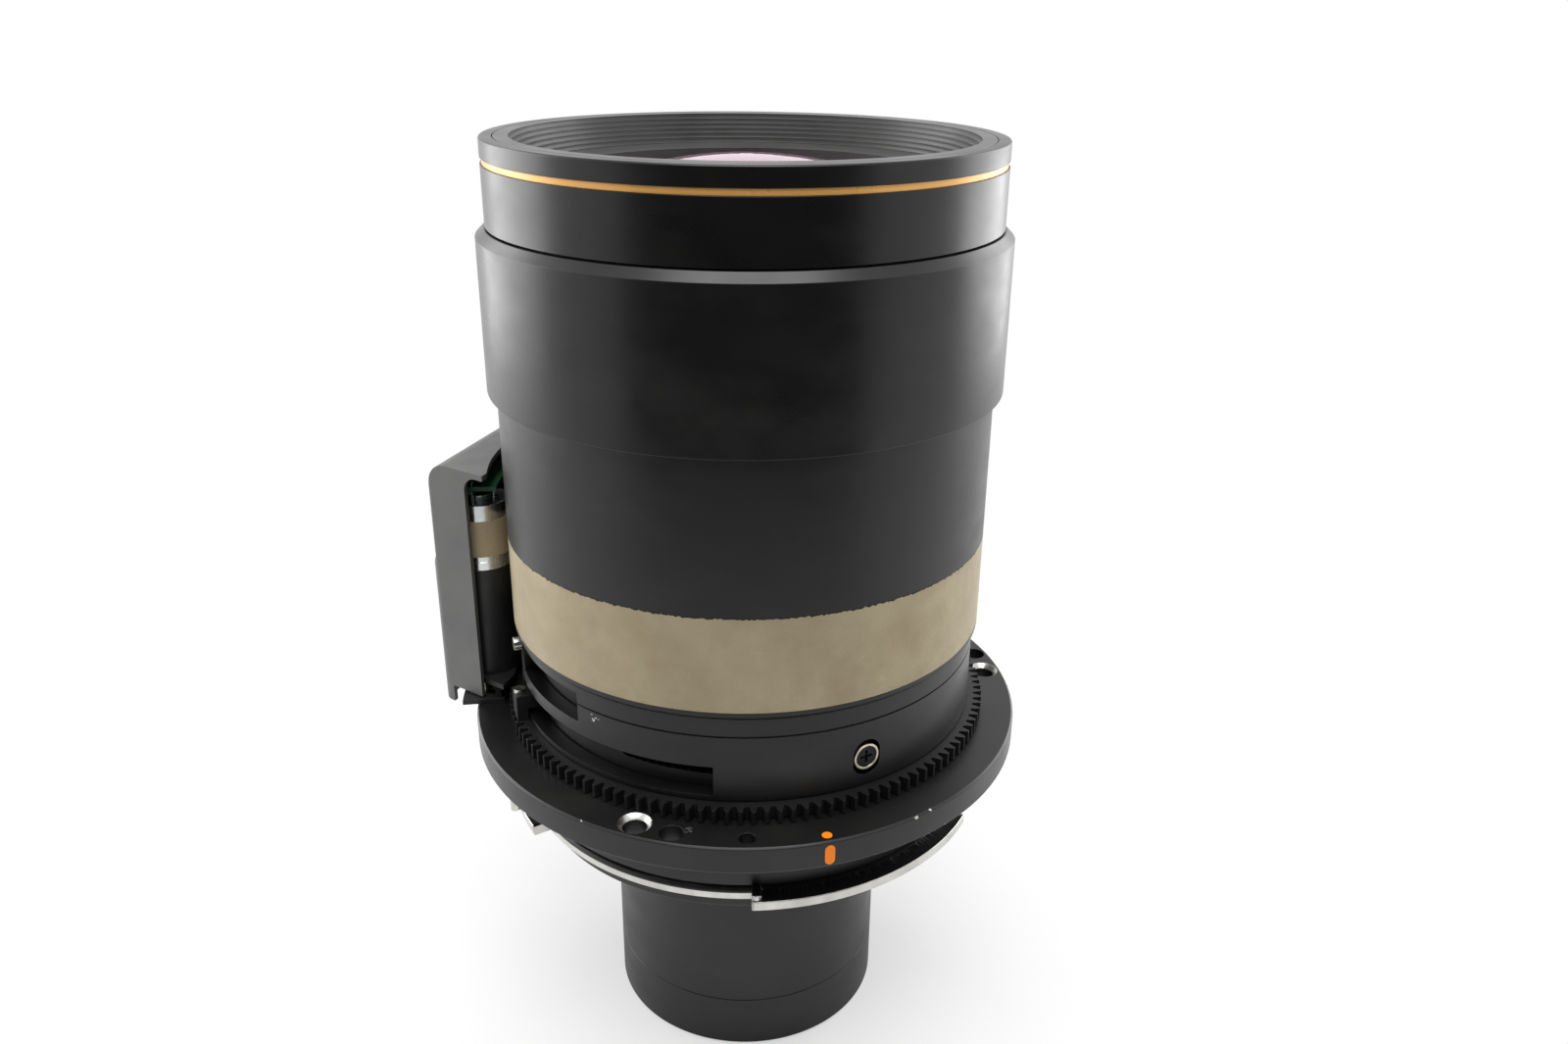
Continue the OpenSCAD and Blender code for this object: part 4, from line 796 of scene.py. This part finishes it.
# %% [markdown]
# The bronze band is bare metal where a focus rubber would lie. It has a fine crossed grain from a
# knurling roller, and the black layer of the barrel above ends on it in a ragged line.

# %% Bare band and barrels
BAND_R = 63.15
GRAIN_PITCH = 0.42
RAGGED_EDGE_Z = 148.2


def crossed_band():
    """Bare metal with crossed grain, and black above its ragged upper edge."""
    made = Finish("crossed_band", (0.34, 0.28, 0.18), 0.5, 0.45)
    parts = made.split()
    turn = made.math("MULTIPLY", made.math("ARCTAN2", parts["Y"], parts["X"]), BAND_R / GRAIN_PITCH)
    rise = made.math("MULTIPLY", made.height(), 1 / GRAIN_PITCH)
    first = made.math("SINE", made.math("MULTIPLY", made.math("ADD", turn, rise), math.pi))
    second = made.math("SINE", made.math("MULTIPLY", made.math("SUBTRACT", turn, rise), math.pi))
    grain = made.math("MULTIPLY", made.math("ADD", first, second), 0.5)
    cloud = made.ramp(made.noise(14, detail=6), 0.35, 0.7)
    warm = made.mix(cloud, (0.41, 0.345, 0.225), (0.33, 0.27, 0.17))
    scratch = made.ramp(made.noise(0.35, (40, 40, 1), detail=3), 0.68, 0.78)
    warm = made.mix(made.math("MULTIPLY", scratch, 0.35), warm, (0.55, 0.5, 0.38))
    top = made.math("SUBTRACT", made.height(), RAGGED_EDGE_Z)
    ragged = made.math("ADD", top, made.ramp(made.noise(0.9, detail=5), 0.3, 0.7, -0.35, 0.3))
    made.color(made.mix(made.ramp(ragged, 0.0, 0.08), warm, (0.012, 0.012, 0.011)))
    made.roughness(made.ramp(made.noise(4, detail=5), 0.3, 0.7, 0.42, 0.56))
    made.bump(grain, 0.02)
    made.bump(made.noise(0.5, detail=4), 0.01)
    return made.material


band_low, band_high = heights("bare_band")
band_in, band_out = radii("bare_band")
turned("bare_band", [
    (band_in, band_low, 0), (band_out, band_low, 0.05), (band_out, band_high, 0.05),
    (band_in, band_high, 0),
], crossed_band())
softened("mid_barrel", width=0.1)

SLEEVE_CHAMFER = 2.1
SLEEVE_LIP_H = 5.0
SLEEVE_BORE = 63.5
sleeve_low, sleeve_high = heights("outer_barrel")
sleeve_in, sleeve_out = radii("outer_barrel")
sleeve_black = satin_black("sleeve_black", base=0.005, low_gloss=0.26, high_gloss=0.38)
turned("outer_barrel", [
    (SLEEVE_BORE, sleeve_low, 0.15), (sleeve_out, sleeve_low, 0.25),
    (sleeve_out, sleeve_high - SLEEVE_CHAMFER, 0.12), (sleeve_out - SLEEVE_CHAMFER, sleeve_high, 0.15),
    (sleeve_in, sleeve_high, 0.2), (sleeve_in, sleeve_high - SLEEVE_LIP_H, 0),
    (SLEEVE_BORE, sleeve_high - SLEEVE_LIP_H, 0),
], sleeve_black)

# %% [markdown]
# The front end carries a plain name band, a thin gold ring and a rim. Inside the rim a stepped
# baffle keeps stray light off the front glass.

# %% Front end
FRONT_R = 63.0
NAME_WALL = 1.3
NAME_BORE = FRONT_R - NAME_WALL
LIP_LOW = 3.0
LIP_H = 1.7
name_low, name_high = heights("name_band")
name_in = radii("name_band")[0]
lip = sleeve_high + LIP_LOW
turned("name_band", [
    (NAME_BORE, name_low, 0), (FRONT_R, name_low, 0.15), (FRONT_R, name_high, 0.12),
    (NAME_BORE, name_high, 0), (NAME_BORE, lip + LIP_H, 0), (name_in, lip + LIP_H, 0),
    (name_in, lip, 0), (NAME_BORE, lip, 0),
], satin_black("name_band_black", base=0.005, low_gloss=0.24, high_gloss=0.34, lines=0.002))
gold_low, gold_high = heights("gold_ring")
gold_in, gold_out = radii("gold_ring")
turned("gold_ring", [
    (gold_in, gold_low, 0), (gold_out, gold_low, 0.1), (gold_out, gold_high, 0.1),
    (gold_in, gold_high, 0),
])
rim_low, rim_high = heights("front_ring")
rim_in, rim_out = radii("front_ring")
rim_black = satin_black("rim_black", base=0.005, low_gloss=0.26, high_gloss=0.36, lines=0.002)
turned("front_ring", [
    (rim_in, rim_low, 0), (rim_out, rim_low, 0.15), (rim_out, rim_high, 0.5), (rim_in, rim_high, 0.12),
], rim_black)

BAFFLE_STEPS = 6
BAFFLE_FOOT = 0.9
HOOD_R = 56.1
CELL_WALL_R = 58.2
baffle_low, baffle_high = heights("baffle_ring")
baffle_in, baffle_out = radii("baffle_ring")
step_in = (HOOD_R - baffle_in) / BAFFLE_STEPS
step_down = (baffle_high - baffle_low - BAFFLE_FOOT) / BAFFLE_STEPS
stairs = []
for i in range(BAFFLE_STEPS):
    stairs.append((HOOD_R - i * step_in, baffle_high - i * step_down, 0.12))
    stairs.append((HOOD_R - i * step_in, baffle_high - (i + 1) * step_down, 0))
turned("baffle_ring", [
    (CELL_WALL_R, baffle_low, 0), (CELL_WALL_R, rim_low, 0), (baffle_out, rim_low, 0),
    (baffle_out, baffle_high, 0.12), *stairs, (baffle_in, baffle_high - BAFFLE_STEPS * step_down, 0.1),
    (baffle_in, baffle_low, 0),
])

# %% [markdown]
# The drive unit sits under a dark moulded cover at the side. A bracket in it carries two gear motors.

# %% Drive unit
softened("motor_cover", width=0.2, sharp=50)
softened("cover_screws", width=0.15)
softened("drive_bracket", width=0.12)
for drive in ("zoom", "focus"):
    softened(drive + "_motor", width=0.15)
    softened(drive + "_gearbox", width=0.2)
